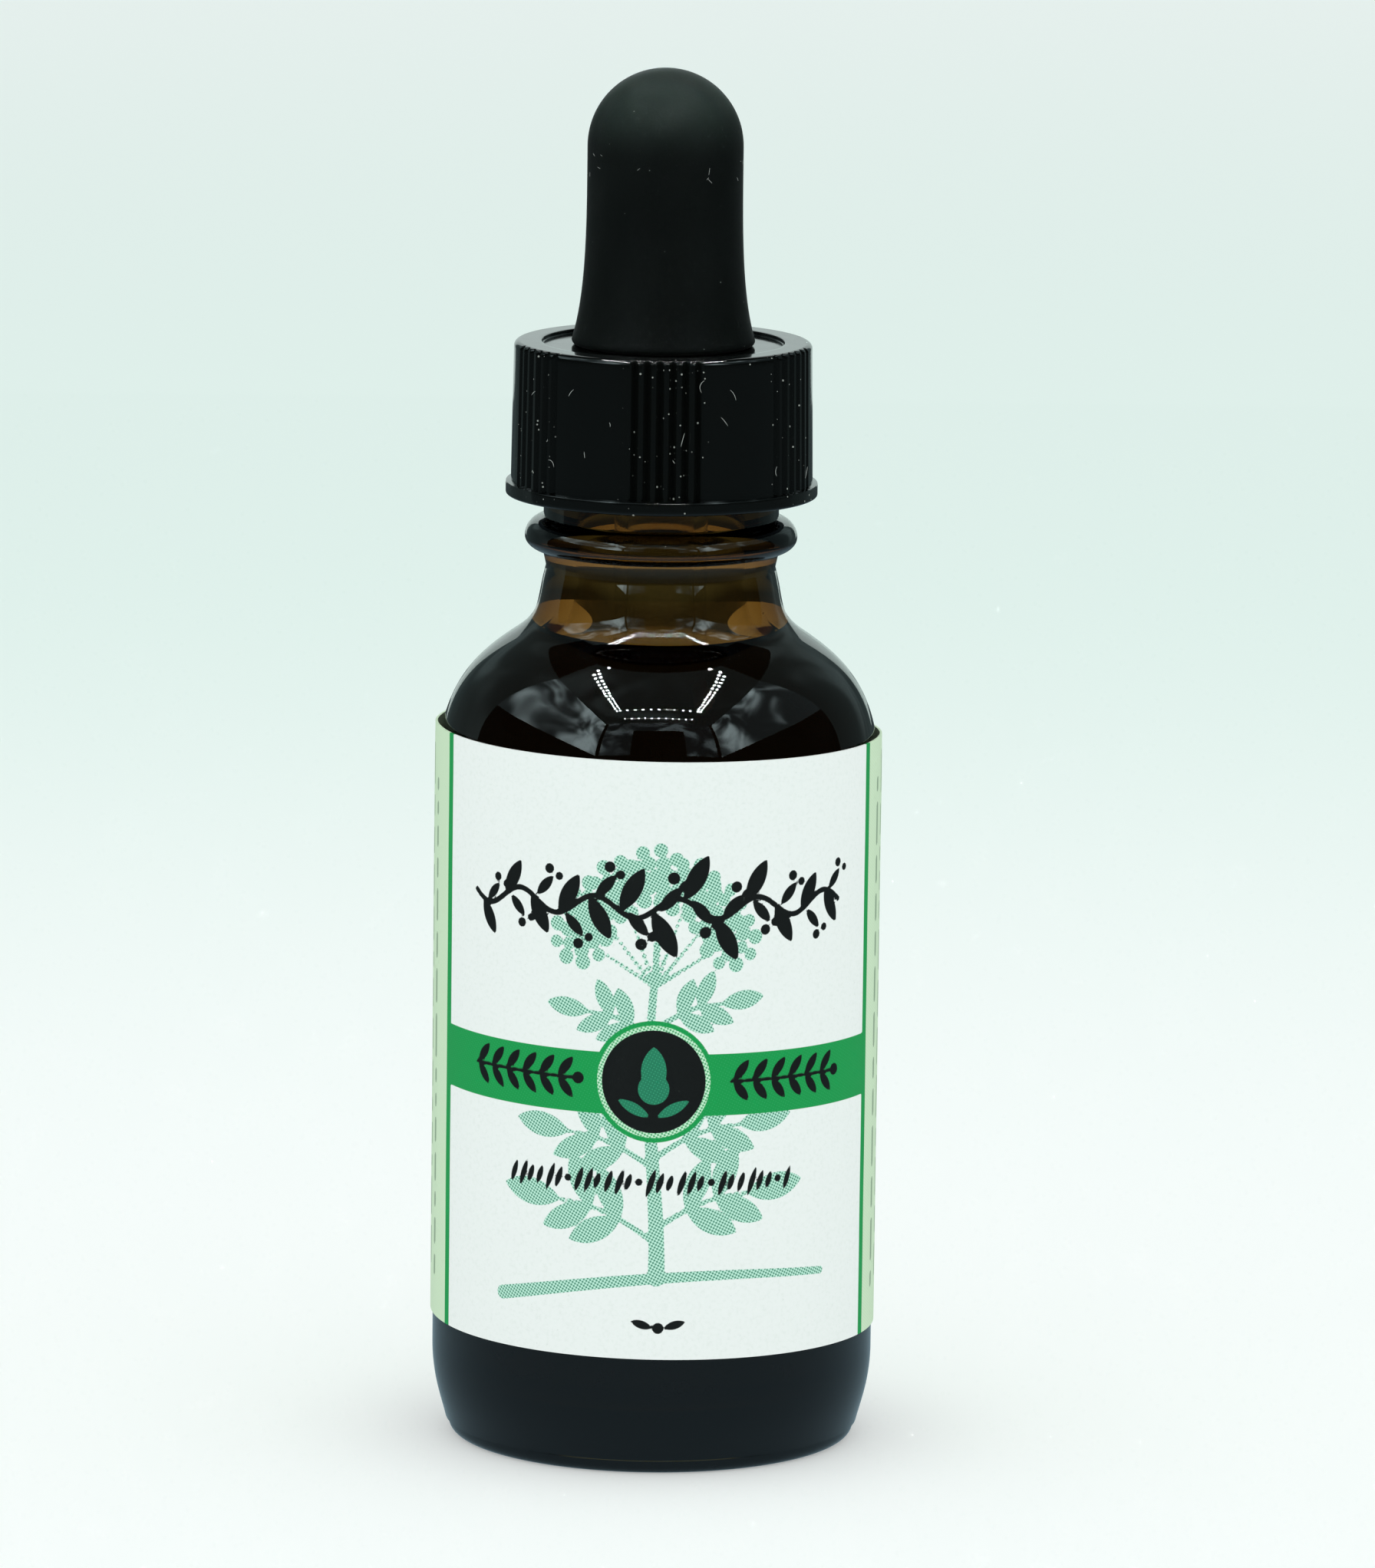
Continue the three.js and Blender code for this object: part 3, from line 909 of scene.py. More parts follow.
@dataclass
class PaperLabel:
    """The wrap-round label: white front panel, green band and roundel, and generic berry-sprig ornament."""

    outer_r: float = 16.55
    inner_r: float = 16.38
    low: float = 9.0
    high: float = 53.4
    half_wrap: float = 172.5
    skew: float = -0.0119
    front_turn: float = -0.06
    panel_turn: float = 0.28
    panel_half: float = 19.56
    rule: float = 0.78
    band_low: float = 18.22
    band_high: float = 22.80
    roundel_v: float = 20.75
    roundel_r: float = 3.82
    halo: float = 0.53
    ring: float = 0.34
    grid_step: float = 0.2

    def sheet(self) -> tuple[Points, Points]:
        """Distances along the sheet and heights up it where the mesh has its lines, in millimetres."""
        end = math.radians(self.half_wrap) * self.outer_r
        fine = np.linspace(-21.2, 21.2, int(42.4 / self.grid_step) + 1)
        coarse = np.linspace(fine[-1], end, 64)[1:]
        across = np.r_[-coarse[::-1], fine, coarse]
        up = np.linspace(0.0, self.high - self.low, int((self.high - self.low) / self.grid_step) + 1)
        return across, up

    def surface(self) -> tuple[Surface, Points, Points]:
        """The paper as a closed strip, slightly cockled, bent to (r sin a, −r cos a, low + v + skew·u).

        Returns:
            The surface, and for each corner its place across and up the sheet.
        """
        across, up = self.sheet()
        rows, cols = len(up), len(across)
        u_out, v_out = np.meshgrid(across, up)
        cockle = 0.5 + 0.25 * np.sin(u_out * 0.9 + 0.3 * v_out) + 0.25 * np.sin(v_out * 0.55 - u_out * 0.21)
        u_all = np.vstack([u_out, across[None, :], across[None, :]])
        v_all = np.vstack([v_out, np.full((1, cols), up[-1]), np.full((1, cols), 0.0)])
        angle = u_all / self.outer_r
        height = self.low + v_all + self.skew * u_all
        drawn_in = self._draw_in(height) * ease((np.abs(np.degrees(angle)) - 84) / 22)
        r_all = np.vstack([self.outer_r - 0.012 * cockle, np.full((2, cols), self.inner_r)]) - drawn_in
        corners = np.stack([r_all * np.sin(angle), -r_all * np.cos(angle), height], axis=2).reshape(-1, 3)
        loop = rows + 2
        i, j = (m.ravel() for m in np.meshgrid(np.arange(loop), np.arange(cols - 1), indexing="ij"))
        above = (i + 1) % loop
        faces = np.c_[i * cols + j, i * cols + j + 1, above * cols + j + 1, above * cols + j].tolist()
        faces.append((np.arange(loop) * cols).tolist())
        faces.append((np.arange(loop)[::-1] * cols + cols - 1).tolist())
        return Surface(corners, faces), u_all.ravel(), v_all.ravel()

    @staticmethod
    def _draw_in(height: Points) -> Points:
        """How far the glass leans in at each height, which the paper follows round the sides and back."""
        glass = GlassBottle()
        profile = glass.outside()
        shoulder = profile[(profile[:, 1] >= glass.shoulder_z) & (profile[:, 1] < 56)]
        return np.interp(height, shoulder[:, 1], glass.body_r - shoulder[:, 0], left=0.0)

    def sprig(self, art: Artwork) -> Points:
        """A tall elder sprig: a stem, pairs of feathered leaves and a domed berry head."""
        heights = np.linspace(6.1, 31.0, 60)
        stem = art.stem(np.c_[self.front_turn + 0.35 * np.sin(heights * 0.22), heights], 1.25, 0.5)
        shapes = [stem]
        for level, reach in ((9.2, 10.6), (14.6, 9.6), (24.2, 7.4)):
            for side in (-1, 1):
                shapes.append(self._feathered(art, side, level + 0.4 * side, reach))
        head = (self.front_turn, 27.8)
        for ray in np.linspace(-58, 58, 7):
            lean = math.radians(90 - ray)
            length = 8.2 - 1.6 * abs(ray) / 58
            tip = (head[0] + length * math.cos(lean), head[1] + length * math.sin(lean))
            shapes.append(art.stem(line(head, tip, 16), 0.42, 0.26))
            for ring, count in ((0.0, 1), (1.05, 6), (1.95, 9)):
                for k in range(count):
                    turn = 2 * math.pi * k / count + ray
                    size = 0.52 - 0.05 * math.sin(3.1 * k + ray)
                    berry = (tip[0] + ring * math.cos(turn), tip[1] + ring * math.sin(turn))
                    shapes.append(art.disc(*berry, size))
        ground = line((-12.0, 3.9), (13.9, 5.85), 80)
        ground[:, 1] += 1.25 * np.sin(np.linspace(0, math.pi, len(ground)))
        shapes.append(art.stem(ground, 1.05, 0.6))
        return union(*shapes)

    @staticmethod
    def _feathered(art: Artwork, side: int, level: float, reach: float) -> Points:
        """One compound leaf: a rib that droops, with leaflets in pairs and one at its tip."""
        t = np.linspace(0, 1, 24)
        rib = np.c_[side * reach * 0.66 * t, level + reach * (0.52 * t - 0.26 * t * t)]
        shapes = [art.stem(rib, 0.5, 0.3)]
        for share in (0.36, 0.68):
            u, v = rib[int(share * 23)]
            for away in (-1, 1):
                turn = math.radians(22 + 46 * away)
                turn = turn if side > 0 else math.pi - turn
                shapes.append(art.leaf(u, v, 0.40 * reach, 0.17 * reach, turn))
        turn = math.radians(8) if side > 0 else math.pi - math.radians(8)
        shapes.append(art.leaf(rib[-1, 0], rib[-1, 1], 0.46 * reach, 0.19 * reach, turn))
        return union(*shapes)

    def garland(self, art: Artwork) -> Points:
        """The heading: a waved stem with bold leaves on both sides and a berry between each two."""
        u = np.linspace(-15.2, 15.4, 200)
        shapes = [art.stem(np.c_[u, 33.6 + 0.75 * np.sin(u * 2 * math.pi / 6.1)], 0.42, 0.42)]
        for k, foot in enumerate(np.linspace(-14.4, 13.8, 13)):
            up = 1 if k % 2 else -1
            v = 33.6 + 0.75 * math.sin(foot * 2 * math.pi / 6.1)
            grow = 1.0 - 0.28 * abs(foot) / 15
            shapes.append(art.leaf(foot, v, 3.9 * grow, 1.45 * grow, math.radians(62) * up))
            shapes.append(art.leaf(foot + 0.5, v, 2.5 * grow, 0.95 * grow, -math.radians(48) * up))
            for du, dv, size in ((1.55, 2.5, 0.46), (2.35, 1.9, 0.38)):
                shapes.append(art.disc(foot + du, v - up * dv * grow, size * grow))
        return union(*shapes)

    def small_ornaments(self, art: Artwork) -> Points:
        """The lesser black marks: a row of slanted seeds, and two leaves and a berry lower down."""
        row_v, low_u, low_v, lean = 13.25, 0.45, 2.35, 0.3
        shapes = [art.disc(low_u, low_v, 0.42)]
        for side, turn in ((-1, math.pi - lean), (1, lean)):
            shapes.append(art.leaf(low_u + 0.4 * side, low_v, 1.7, 0.62, turn))
        for k, u in enumerate(np.linspace(-11.0, 10.4, 29)):
            if k % 7 == 6:
                shapes.append(art.disc(u, row_v, 0.28))
                continue
            size = 1.85 + 0.5 * math.sin(k * 1.9)
            shapes.append(art.leaf(u - 0.25, row_v - size / 2, size, 0.46, math.radians(72)))
        return union(*shapes)

    def band_ornaments(self, art: Artwork) -> Points:
        """Dark marks along the band: on each side of the roundel a sprig of paired leaves with berries."""
        shapes = []
        for start, end in ((-15.0, -5.7), (5.7, 15.2)):
            shapes.append(art.stem(line((start, self.roundel_v), (end, self.roundel_v), 60), 0.28, 0.28))
            for u in np.linspace(start + 0.2, end - 1.6, 6):
                for away in (-1, 1):
                    shapes.append(art.leaf(u, self.roundel_v, 1.95, 0.72, math.radians(52) * away))
            shapes.append(art.disc(end, self.roundel_v, 0.45))
        return union(*shapes)

    def emblem(self, art: Artwork) -> Points:
        """A plain drop in the roundel: a disc under a pointed leaf, with a leaf out on each side."""
        u, v = self.front_turn, self.roundel_v - 0.55
        shapes = [art.disc(u, v, 1.15), art.leaf(u, v - 0.55, 3.7, 1.86, math.pi / 2)]
        for away in (-1, 1):
            turn = math.pi / 2 - away * math.radians(62)
            shapes.append(art.leaf(u + 0.25 * away, v - 2.1, 2.7, 0.8, turn))
        return union(*shapes)

    def greeked(self, art: Artwork) -> Points:
        """Plain broken bars that stand for small print on the two side panels, running up the sheet."""
        shapes = [art.nothing()]
        random = np.random.default_rng(20)
        for side in (-1, 1):
            for column, u in enumerate(np.arange(22.6, 47.0, 1.9)):
                v = 3.0 + (column % 3) * 0.5
                while v < 40.5:
                    length = float(random.uniform(0.9, 3.4))
                    shapes.append(art.bar(side * u, v + length / 2, 0.28, length / 2))
                    v += length + 0.75
        return union(*shapes)

    def inks(self, across: Points, up: Points) -> dict[str, Points]:
        """Every ink's distance field, by the name that the paper's finish reads it under."""
        art = Artwork(across, up)
        panel, edge = self.panel_turn, self.panel_half
        mid_v, half_v = (self.band_low + self.band_high) / 2, (self.band_high - self.band_low) / 2
        halo = art.disc(self.front_turn, self.roundel_v, self.roundel_r + self.halo)
        roundel = art.disc(self.front_turn, self.roundel_v, self.roundel_r)
        rules = union(*(art.bar(panel + s * edge, mid_v, self.rule / 2, self.high) for s in (-1, 1)))
        black = union(self.garland(art), self.small_ornaments(art), self.band_ornaments(art), roundel)
        return {
            "side_panel": edge - np.abs(across - panel),
            "sprig": self.sprig(art),
            "green": union(art.bar(panel, mid_v, edge + 0.2, half_v), rules),
            "halo": halo,
            "ring": np.abs(halo) - self.ring / 2,
            "greek": self.greeked(art),
            "black": black,
            "emblem": self.emblem(art),
        }

    def make(self, effects: SharedEffects) -> None:
        """Builds the paper, gives it its sheet coordinates and inks, and places it."""
        surface, across, up = self.surface()
        piece = build("label_sheet", surface, PrintedPaper().material(effects), crease=30.0)
        for name, distance in self.inks(across, up).items():
            carry(piece, name, np.clip(distance, -5.0, 5.0))
        corner = np.zeros(len(piece.data.loops), np.int32)
        piece.data.loops.foreach_get("vertex_index", corner)
        sheet = piece.data.uv_layers.new(name="sheet")
        sheet.data.foreach_set("uv", (np.c_[across, up][corner] / SHEET_UNIT).ravel().astype(np.float32))
        place(piece, "bottle", "label_paper", "label")


# ---------------------------------------------------------------- lint


@dataclass
class LooseFibres:
    """Lint on a round wall: short bowed arcs just proud of it, placed and turned at random."""

    name: str
    body: str
    slot: str
    seed: int
    count: int
    wall_r: float
    proud: float
    thick: float
    azimuths: tuple
    heights: tuple
    lengths: tuple
    tilt: float
    bend: float
    steps: int

    def make(self, effects: SharedEffects) -> None:
        """Builds the fibres as one piece and places it.

        A fibre runs along its tilt from the upright, and bows away from that line by a parabola. Its
        distances round the wall are turned into azimuths by the wall's radius.
        """
        random = np.random.default_rng(self.seed)
        share = np.linspace(-0.5, 0.5, self.steps)
        radius = self.wall_r + self.proud
        fibres = []
        for _ in range(self.count):
            turn, height = math.radians(random.uniform(*self.azimuths)), random.uniform(*self.heights)
            length, tilt = random.uniform(*self.lengths), random.uniform(-self.tilt, self.tilt)
            bend = random.uniform(-self.bend, self.bend) if self.bend else 0.0
            along, away = length * share, bend * length * (share**2 * 2 - 0.25)
            azimuth = turn + (along * math.sin(tilt) + away * math.cos(tilt)) / self.wall_r
            rise = height + along * math.cos(tilt) - away * math.sin(tilt)
            fibres.append(tube(np.c_[radius * np.cos(azimuth), radius * np.sin(azimuth), rise], self.thick))
        piece = build(self.name, joined(fibres), Lint().material(effects), crease=80.0)
        place(piece, self.body, self.slot)


# ---------------------------------------------------------------- cap


@dataclass
class ScrewCap:
    """The phenolic cap: groups of fine grooves, a flange, a disc sunk in its top, a thread inside."""

    low: float = 70.65
    high: float = 82.0
    top_r: float = 10.98
    wall_r: float = 11.12
    fillet_wide: float = 0.45
    fillet_high: float = 0.42
    disc_r: float = 8.93
    disc_z: float = 81.7
    flange_r: float = 11.5
    flange_top: float = 71.6
    slope: float = 0.37
    inner_r: float = 9.95
    top_wall: float = 1.4
    hole_r: float = 6.3
    groups: int = 6
    grooves: int = 6
    groove_step: float = 5.0
    grip_turn: float = -88.5
    groove_wide: float = 0.7
    groove_deep: float = 0.35

    def groove_angles(self) -> Points:
        """The middle of every groove, in degrees."""
        middles = self.grip_turn + np.arange(self.groups) * 360 / self.groups
        within = (np.arange(self.grooves) - (self.grooves - 1) / 2) * self.groove_step
        return (middles[:, None] + within[None, :]).ravel()

    def azimuths(self) -> Points:
        """Angles round the cap in radians: even steps, and more across each groove."""
        half = math.degrees(self.groove_wide / 2 / self.wall_r)
        steps = np.array([-1.3, -1.0, -0.8, -0.3, 0.0, 0.3, 0.8, 1.0, 1.3])
        across = self.groove_angles()[:, None] + steps * half
        even = np.arange(0, 360, 2.0)
        near = np.abs(np.mod(even[:, None] - self.groove_angles()[None, :] + 180, 360) - 180).min(axis=1)
        angles = np.r_[np.mod(across.ravel(), 360), even[near > 1.6 * half]]
        return np.radians(np.unique(np.round(angles, 4)))

    def off_groove(self, azimuth: Points) -> Points:
        """The angle in radians from each azimuth to the nearest groove's middle."""
        centres = np.radians(self.groove_angles())
        return np.abs(np.mod(azimuth[..., None] - centres + np.pi, 2 * np.pi) - np.pi).min(axis=-1)

    def cut(self, azimuth: Points) -> Points:
        """Depth of the grooves at each azimuth: a V with a slightly rounded floor and lips."""
        share = np.clip(1 - self.off_groove(azimuth) / (self.groove_wide / 2 / self.wall_r), 0, 1)
        return self.groove_deep * (0.8 * share + 0.2 * ease(share))

    def profile(self) -> Points:
        """The section of the cap's wall and top, closed on itself."""
        rim_r = self.top_r - self.fillet_wide
        quarter = arc((0, 0), 1.0, 0, 90, 14)
        rim_z = self.high - self.fillet_high
        rim = np.c_[rim_r + self.fillet_wide * quarter[:, 0], rim_z + self.fillet_high * quarter[:, 1]]
        wall_low = (self.wall_r, self.flange_top + self.slope)
        return profile_of(
            (self.inner_r + 0.35, self.low),
            (self.flange_r - 0.15, self.low),
            arc((self.flange_r - 0.15, self.low + 0.15), 0.15, -90, 0, 4),
            line((self.flange_r, self.low + 0.15), (self.flange_r, self.flange_top - 0.08), 3),
            arc((self.flange_r - 0.08, self.flange_top - 0.08), 0.08, 0, 45, 3),
            line((self.flange_r - 0.03, self.flange_top), wall_low, 6),
            line(wall_low, tuple(rim[0]), 24),
            rim,
            line((rim_r - 0.1, self.high), (self.disc_r + 0.08, self.high), 4),
            arc((self.disc_r + 0.08, self.high - 0.08), 0.08, 90, 180, 4),
            arc((self.disc_r - 0.1, self.disc_z + 0.1), 0.1, 0, -90, 4),
            line((self.disc_r - 0.2, self.disc_z), (self.hole_r + 0.1, self.disc_z), 5),
            (self.hole_r, self.disc_z - 0.1),
            (self.hole_r, self.disc_z - self.top_wall),
            (self.inner_r, self.disc_z - self.top_wall),
            line((self.inner_r, self.disc_z - self.top_wall - 0.05), (self.inner_r, self.low + 0.35), 56),
        )

    def surface(self) -> Surface:
        """The cap turned about the axis, its wall cut by the grooves and its bore by the thread."""
        thread = ScrewThread(centre_radius=9.8, bottom=72.5, top=76.9, turns_ahead=0.5)
        wall_high = self.high - self.fillet_high
        lean = (self.top_r - self.wall_r) / (wall_high - self.flange_top - self.slope)

        def shaped(radius: Points, height: Points, azimuth: Points) -> Points:
            """The lesser of the plain radius and the grooved wall's, and inside less the ridge's reach."""
            wall = self.wall_r + lean * (height - self.flange_top - self.slope)
            grooved = np.minimum(radius, wall - self.cut(azimuth))
            outside = (height > self.flange_top + 0.001) & (radius > self.inner_r + 0.3)
            radius = np.where(outside, grooved, radius)
            ridge = thread.centre_radius - thread.reach(height, np.mod(azimuth, 2 * np.pi))
            on_wall = np.abs(radius - self.inner_r) < 1e-3
            return np.where(on_wall, np.minimum(radius, ridge), radius)

        return revolve(self.profile(), self.azimuths(), shaped)

    def make(self, effects: SharedEffects) -> None:
        """Builds the cap, marks where its grooves lie so that dust can settle there, and places it."""
        surface = self.surface()
        piece = build("cap_shell", surface, BlackPhenolic().material(effects), crease=28.0)
        x, y, _ = surface.corners.T
        near = ease(1.6 - self.off_groove(np.arctan2(y, x)) / math.radians(self.groove_step * 0.5))
        carry(piece, "groove", near * (np.hypot(x, y) > self.inner_r + 0.3))
        place(piece, "cap", "black_phenolic", "screw_cap")

    def lint(self) -> LooseFibres:
        """The fibres on the cap's wall."""
        return LooseFibres(
            name="cap_lint",
            body="cap",
            slot="black_phenolic",
            seed=7,
            count=13,
            wall_r=self.wall_r,
            proud=0.03,
            thick=0.014,
            azimuths=(-175, 5),
            heights=(self.flange_top + 1.2, self.high - 1.8),
            lengths=(0.25, 1.1),
            tilt=1.0,
            bend=0.5,
            steps=14,
        )


# ---------------------------------------------------------------- bulb and pipette


@dataclass
class RubberBulb:
    """The rubber bulb: domed, straight, flared at its foot, hollow, with its flange on the lip."""

    top: float = 102.15
    radius: float = 5.73
    straight_z: float = 95.5
    foot_r: float = 6.75
    foot_round: float = 0.35
    wall: float = 1.35
    groove_r: float = 6.0
    flange_r: float = 8.9
    sleeve_z: float = 86.0
    sleeve_r: float = 3.5
    seat_z: float = 81.7
    cap_wall: float = 1.4
    lip_z: float = 78.9
    gap: float = 0.05

    def surface(self) -> Surface:
        """The section turned about the axis."""
        dome = (0.0, self.top - self.radius)
        hollow = self.radius - self.wall
        foot = (self.foot_r - self.foot_round, self.seat_z + self.gap + self.foot_round)
        flange_top = self.seat_z - self.cap_wall - self.gap
        flare = ((self.radius, 90.5), (self.radius - 0.01, 85.5), (self.foot_r, foot[1]))
        profile = profile_of(
            arc(dome, self.radius, 90, 0, 30),
            curve((self.radius, self.straight_z), *flare, 36),
            arc(foot, self.foot_round, 0, -90, 8),
            (self.groove_r, self.seat_z + self.gap),
            (self.groove_r, flange_top),
            (self.flange_r, flange_top),
            (self.flange_r, self.lip_z + self.gap),
            (self.sleeve_r, self.lip_z + self.gap),
            (self.sleeve_r, self.sleeve_z),
            (hollow, self.sleeve_z + 1.2),
            arc(dome, hollow, 0, 90, 20),
        )
        return revolve(profile, np.linspace(0, 2 * np.pi, 192, endpoint=False))

    def lint(self) -> LooseFibres:
        """The fibres on the bulb's straight part."""
        return LooseFibres(
            name="bulb_lint",
            body="dropper",
            slot="black_rubber",
            seed=11,
            count=12,
            wall_r=self.radius,
            proud=0.005,
            thick=0.010,
            azimuths=(-170, 0),
            heights=(self.straight_z - 1.5, self.straight_z + 0.7),
            lengths=(0.2, 0.6),
            tilt=1.5,
            bend=0.0,
            steps=12,
        )

    def make(self, effects: SharedEffects) -> None:
        """Builds and places the bulb."""
        piece = build("bulb_rubber", self.surface(), BlackRubber().material(effects))
        place(piece, "dropper", "black_rubber", "rubber_bulb")


@dataclass
class GlassPipette:
    """The glass tube: fire-rounded at the top and drawn down to a narrow tip."""

    radius: float = 3.45
    bore: float = 2.45
    tip_z: float = 11.5
    top_z: float = 87.5
    taper: float = 9.0
    tip_r: float = 1.6
    tip_bore: float = 0.7

    def surface(self) -> Surface:
        """The section of the tube's wall turned about the axis."""
        mid, half = (self.radius + self.bore) / 2, (self.radius - self.bore) / 2
        begin = self.tip_z + self.taper
        wall, bore = (
            curve((tip, self.tip_z + 1), (tip + 0.1, self.tip_z + 5), (full, begin - 4), (full, begin), 20)
            for tip, full in ((self.tip_r, self.radius), (self.tip_bore, self.bore))
        )
        profile = profile_of(
            (self.tip_bore, self.tip_z),
            (self.tip_r, self.tip_z),
            wall,
            line((self.radius, begin), (self.radius, self.top_z - half), 20),
            arc((mid, self.top_z - half), half, 0, 180, 10),
            line((self.bore, self.top_z - half), (self.bore, begin), 20),
            bore[::-1],
        )
        return revolve(profile, np.linspace(0, 2 * np.pi, 96, endpoint=False))

    def make(self, effects: SharedEffects) -> None:
        """Builds and places the pipette."""
        piece = build("pipette_tube", self.surface(), ClearGlass().material(effects))
        place(piece, "dropper", "clear_glass", "glass_pipette")


# ---------------------------------------------------------------- studio


class Sight(Enum):
    """Which rays meet a piece of the studio."""

    EVERYTHING = "everything"
    REFLECTIONS = "reflections only"


def stand(name: str, surface: Surface, finish: Material, sight: Sight) -> None:
    """Builds a piece of the studio, limited to the rays that it is there for."""
    piece = build(name, surface, finish)
    if sight is Sight.REFLECTIONS:
        for ray in ("camera", "diffuse", "shadow", "volume_scatter", "transmission"):
            setattr(piece, f"visible_{ray}", False)


@dataclass
class LightTent:
    """A light tent round the bottle: pale floor, lit walls, lamps above and an open front, in metres."""

    half_wide: float = 0.20
    front: float = 0.30
    back: float = 0.55
    ceiling: float = 0.36
    ring_x: float = 0.108
    ring_front: float = -0.186
    ring_back: float = 0.043
    front_gap: float = 0.07
    side_gap: float = 0.011
    lamp_pitch: float = 0.0165
    lamp_size: float = 0.0048
    lamp_power: float = 240.0
    middle: float = 0.07
    door_wide: float = 0.08
    door_high: float = 0.285
    hem: float = 0.15
    corner_gap: float = 0.93
    floor_share: float = 0.62
    floor_glow: float = 0.34
    floor_r: float = 6.0
    room_half: float = 0.90
    room_back: float = 0.64
    room_high: float = 0.62
    sky_glow: float = 0.87
    overhead_size: float = 0.7
    overhead_watts: float = 1.25
    overhead_place: tuple = (0.0, -0.12, 0.62)

    def floor(self) -> None:
        """A wide pale floor: near white by the bottle, a painted pool of light, cooler and then paler with
        distance.

        Reflections meet it in a darker colour than the camera does, which keeps the black parts black.
        """
        made, g, shader, out = new_material("floor_paper")
        length = g.add("ShaderNodeVectorMath", {0: g.object_place()}, operation="LENGTH").outputs["Value"]
        near = g.mix(g.remap(length, 0.05, 0.42), (0.97, 0.985, 0.985), (0.82, 0.93, 0.895))
        shade = g.mix(g.remap(length, 0.42, 1.5), near, (0.98, 1.0, 1.0))
        # The floor also glows by its own light, which paints its shadows paler; only a share of its colour
        # takes the lamps' light.
        finish = {
            "Base Color": g.mix(1.0 - self.floor_share, shade, (0.0, 0.0, 0.0)),
            "Emission Color": shade,
            "Emission Strength": self.floor_glow,
            "Roughness": 0.9,
            "Specular IOR Level": 0.1,
        }
        g.fill(shader, finish)
        shine = g.mix(g.remap(length, 0.06, 0.34), (0.22, 0.32, 0.37), (0.055, 0.075, 0.08))
        dim = g.add("ShaderNodeEmission", {"Color": shine, "Strength": 1.0})
        glossy = g.add("ShaderNodeLightPath").outputs["Is Glossy Ray"]
        swap = g.add("ShaderNodeMixShader", {0: glossy, 1: shader.outputs[0], 2: dim.outputs[0]})
        g.feed(out.inputs["Surface"], swap.outputs[0])
        radius, sides = self.floor_r / MM, 96
        turn = np.linspace(0, 2 * np.pi, sides, endpoint=False)
        ring = np.c_[radius * np.cos(turn), radius * np.sin(turn), np.zeros(sides)]
        stand("floor", Surface(ring, [list(range(sides))]), made, Sight.EVERYTHING)

    @staticmethod
    def _glow(name: str, low: Colour, high: Colour, scale: float) -> Material:
        """A wall that glows by its own light, between two colours, in soft folds as gathered cloth is."""
        made, g, glow, _ = new_material(name, "ShaderNodeEmission")
        made.cycles.emission_sampling = "NONE"
        folds = g.noise(g.object_place(), scale, 2.0, Roughness=0.5, Distortion=0.9)
        share = g.math("POWER", g.remap(folds, 0.36, 0.72), 2.0)
        g.fill(glow, {"Color": g.mix(share, low, high), "Strength": 1.0})
        return made

    def walls(self) -> None:
        """The tent's walls as flat panels, seen only in reflections: bright folds beside, open in front."""
        w, f, b = self.half_wide / MM, -self.front / MM, self.back / MM
        h, m = self.ceiling / MM, self.middle / MM
        door_w, door_h, foot = self.door_wide / MM, self.door_high / MM, self.hem / MM
        side = w * self.corner_gap
        front = ((0.07, 0.10, 0.11), (0.9, 1.15, 1.2), 11.0)
        bright = ((0.12, 0.17, 0.18), (3.2, 4.0, 4.1), 7.0)
        rear = ((0.07, 0.1, 0.1), (0.2, 0.27, 0.27), 3.0)
        top = ((0.07, 0.10, 0.10), (0.22, 0.3, 0.3), 5.0)
        back = ((0.66, 0.80, 0.76), (0.8, 0.92, 0.9), 3.0)
        panels = (
            ("tent_back", (-w, b), (w, b), 0, h, back),
            ("tent_left", (-w, f), (-w, m), foot, h, bright),
            ("tent_right", (w, m), (w, f), foot, h, bright),
            ("tent_left_rear", (-w, m), (-w, b), 0, h, rear),
            ("tent_right_rear", (w, b), (w, m), 0, h, rear),
            ("tent_front_left", (-door_w, f), (-side, f), foot, h, front),
            ("tent_front_right", (side, f), (door_w, f), foot, h, front),
            ("tent_front_top", (door_w, f), (-door_w, f), door_h, h, front),
        )
        for name, begin, end, low, high, glow in panels:
            corners = [(*begin, low), (*end, low), (*end, high), (*begin, high)]
            self._panel(name, corners, glow)
        self._panel("tent_top", [(-w, f, h), (-w, m, h), (w, m, h), (w, f, h)], top)

    def _panel(self, name: str, corners: list, glow: tuple) -> None:
        """One flat panel of the tent, by its four corners and the colours and scale of its glow."""
        flat = Surface(np.array(corners, float), [[0, 1, 2, 3]])
        stand(name, flat, self._glow(name, *glow), Sight.REFLECTIONS)

    def shroud(self) -> None:
        """The unlit room outside the tent: a dark box that reflections meet past the tent's openings."""
        made = self._glow("shroud", (0.008, 0.010, 0.010), (0.014, 0.017, 0.017), 2.0)
        w, b, h = self.room_half / MM, self.room_back / MM, self.room_high / MM
        plan = [(-w, -w), (w, -w), (w, b), (-w, b)]
        c = [(x, y, z) for z in (-1, h) for x, y in plan]
        faces = [[0, 1, 5, 4], [1, 2, 6, 5], [3, 0, 4, 7], [4, 5, 6, 7]]
        stand("shroud", Surface(np.array(c, float), faces), made, Sight.REFLECTIONS)

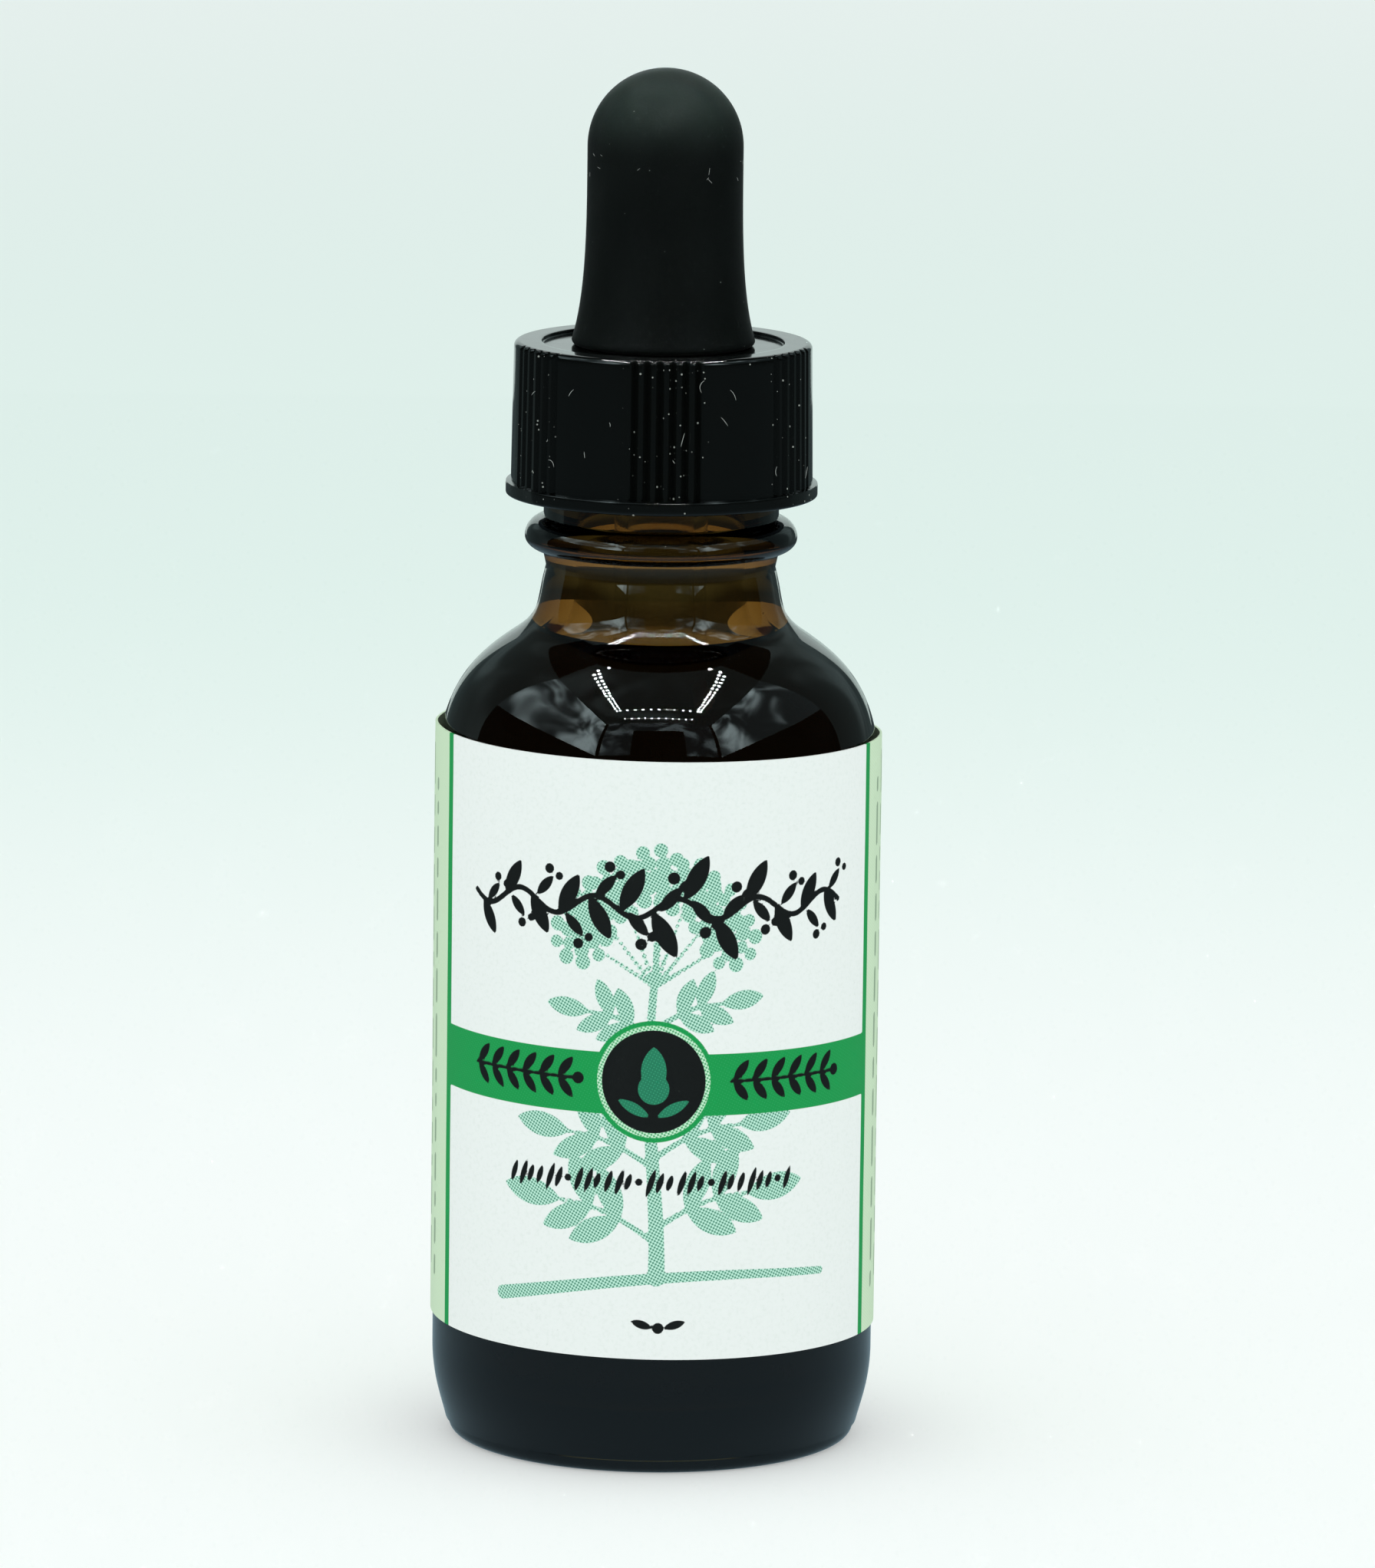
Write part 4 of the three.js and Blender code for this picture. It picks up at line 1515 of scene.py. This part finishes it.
    def lamps(self) -> None:
        """Rows of small square lamps in the ceiling: one behind, two at each side and two in front."""
        power = self.lamp_power
        made = self._glow("lamps", (power,) * 3, (power,) * 3, 2.0)
        across = np.linspace(-self.ring_x, self.ring_x, 11)
        along = np.arange(self.ring_front, self.ring_back + 1e-6, self.lamp_pitch)
        lines = (self.ring_front, self.ring_back, self.ring_front - self.front_gap)
        rows = [np.c_[across, np.full_like(across, y)] for y in lines]
        for x in (-1, 1):
            for shift in (0.0, self.side_gap):
                rows.append(np.c_[np.full_like(along, x * (self.ring_x + shift)), along])
        centres = np.vstack(rows)
        half = self.lamp_size / 2
        square = np.array([(-half, -half), (-half, half), (half, half), (half, -half)])
        flat = (centres[:, None, :] + square[None, :, :]).reshape(-1, 2)
        corners = np.c_[flat, np.full(len(flat), self.ceiling - 0.004)] / MM
        faces = np.arange(len(corners)).reshape(-1, 4).tolist()
        stand("lamps", Surface(corners, faces), made, Sight.REFLECTIONS)

    def light(self) -> None:
        """Even light from all round, with a broad soft lamp above."""
        world = bpy.data.worlds.new("studio")
        bpy.context.scene.world = world
        world.use_nodes = True
        back = next(n for n in world.node_tree.nodes if n.type == "BACKGROUND")
        back.inputs["Color"].default_value = (0.93, 1.0, 0.975, 1.0)
        back.inputs["Strength"].default_value = self.sky_glow
        lamp = bpy.data.lights.new("overhead", "AREA")
        lamp.shape = "RECTANGLE"
        lamp.size, lamp.size_y = self.overhead_size, self.overhead_size
        lamp.energy = self.overhead_watts
        lamp.color = (0.97, 1.0, 0.99)
        holder = bpy.data.objects.new("overhead", lamp)
        holder.location = self.overhead_place
        holder.visible_glossy = False
        holder.visible_transmission = False
        bpy.context.scene.collection.objects.link(holder)

    def make(self) -> None:
        """Builds the whole studio."""
        self.floor()
        self.walls()
        self.shroud()
        self.lamps()
        self.light()


@dataclass(frozen=True)
class StudioCamera:
    """The camera: where it stands, and its pan, dip and roll in degrees."""

    place: tuple = (0.0, -0.81585, 0.19285)
    lens: float = 256.8
    pan: float = 0.153
    dip: float = 10.005
    roll: float = -0.708

    def make(self) -> None:
        """Builds the camera and makes it the scene's own.

        The view direction is +Y panned about Z and dipped below the horizon. Right and up are then turned
        about that direction by the roll.
        """
        pan, dip, roll = (math.radians(a) for a in (self.pan, self.dip, self.roll))
        side = Vector((math.cos(pan), -math.sin(pan), 0))
        ahead = Vector((math.sin(pan), math.cos(pan), 0))
        upright = Vector((0, 0, 1))
        look = math.cos(dip) * ahead - math.sin(dip) * upright
        rise = math.sin(dip) * ahead + math.cos(dip) * upright
        right = math.cos(roll) * side - math.sin(roll) * rise
        up = math.sin(roll) * side + math.cos(roll) * rise
        data = bpy.data.cameras.new("camera")
        data.lens = self.lens
        data.sensor_width = 36.0
        data.clip_start, data.clip_end = 0.01, 50.0
        camera = bpy.data.objects.new("camera", data)
        turn = Matrix((right, up, -look)).transposed().to_4x4()
        camera.matrix_world = Matrix.Translation(self.place) @ turn
        bpy.context.scene.collection.objects.link(camera)
        bpy.context.scene.camera = camera


# ---------------------------------------------------------------- everything together


def main() -> None:
    """Builds the camera, the studio and every piece of the bottle, in order."""
    bpy.context.scene.view_settings.view_transform = "Standard"
    effects = SharedEffects()
    StudioCamera().make()
    LightTent().make()
    GlassBottle().make(effects)
    PaperLabel().make(effects)
    cap = ScrewCap()
    cap.make(effects)
    cap.lint().make(effects)
    bulb = RubberBulb()
    bulb.make(effects)
    bulb.lint().make(effects)
    GlassPipette().make(effects)


if __name__ == "__main__":
    main()
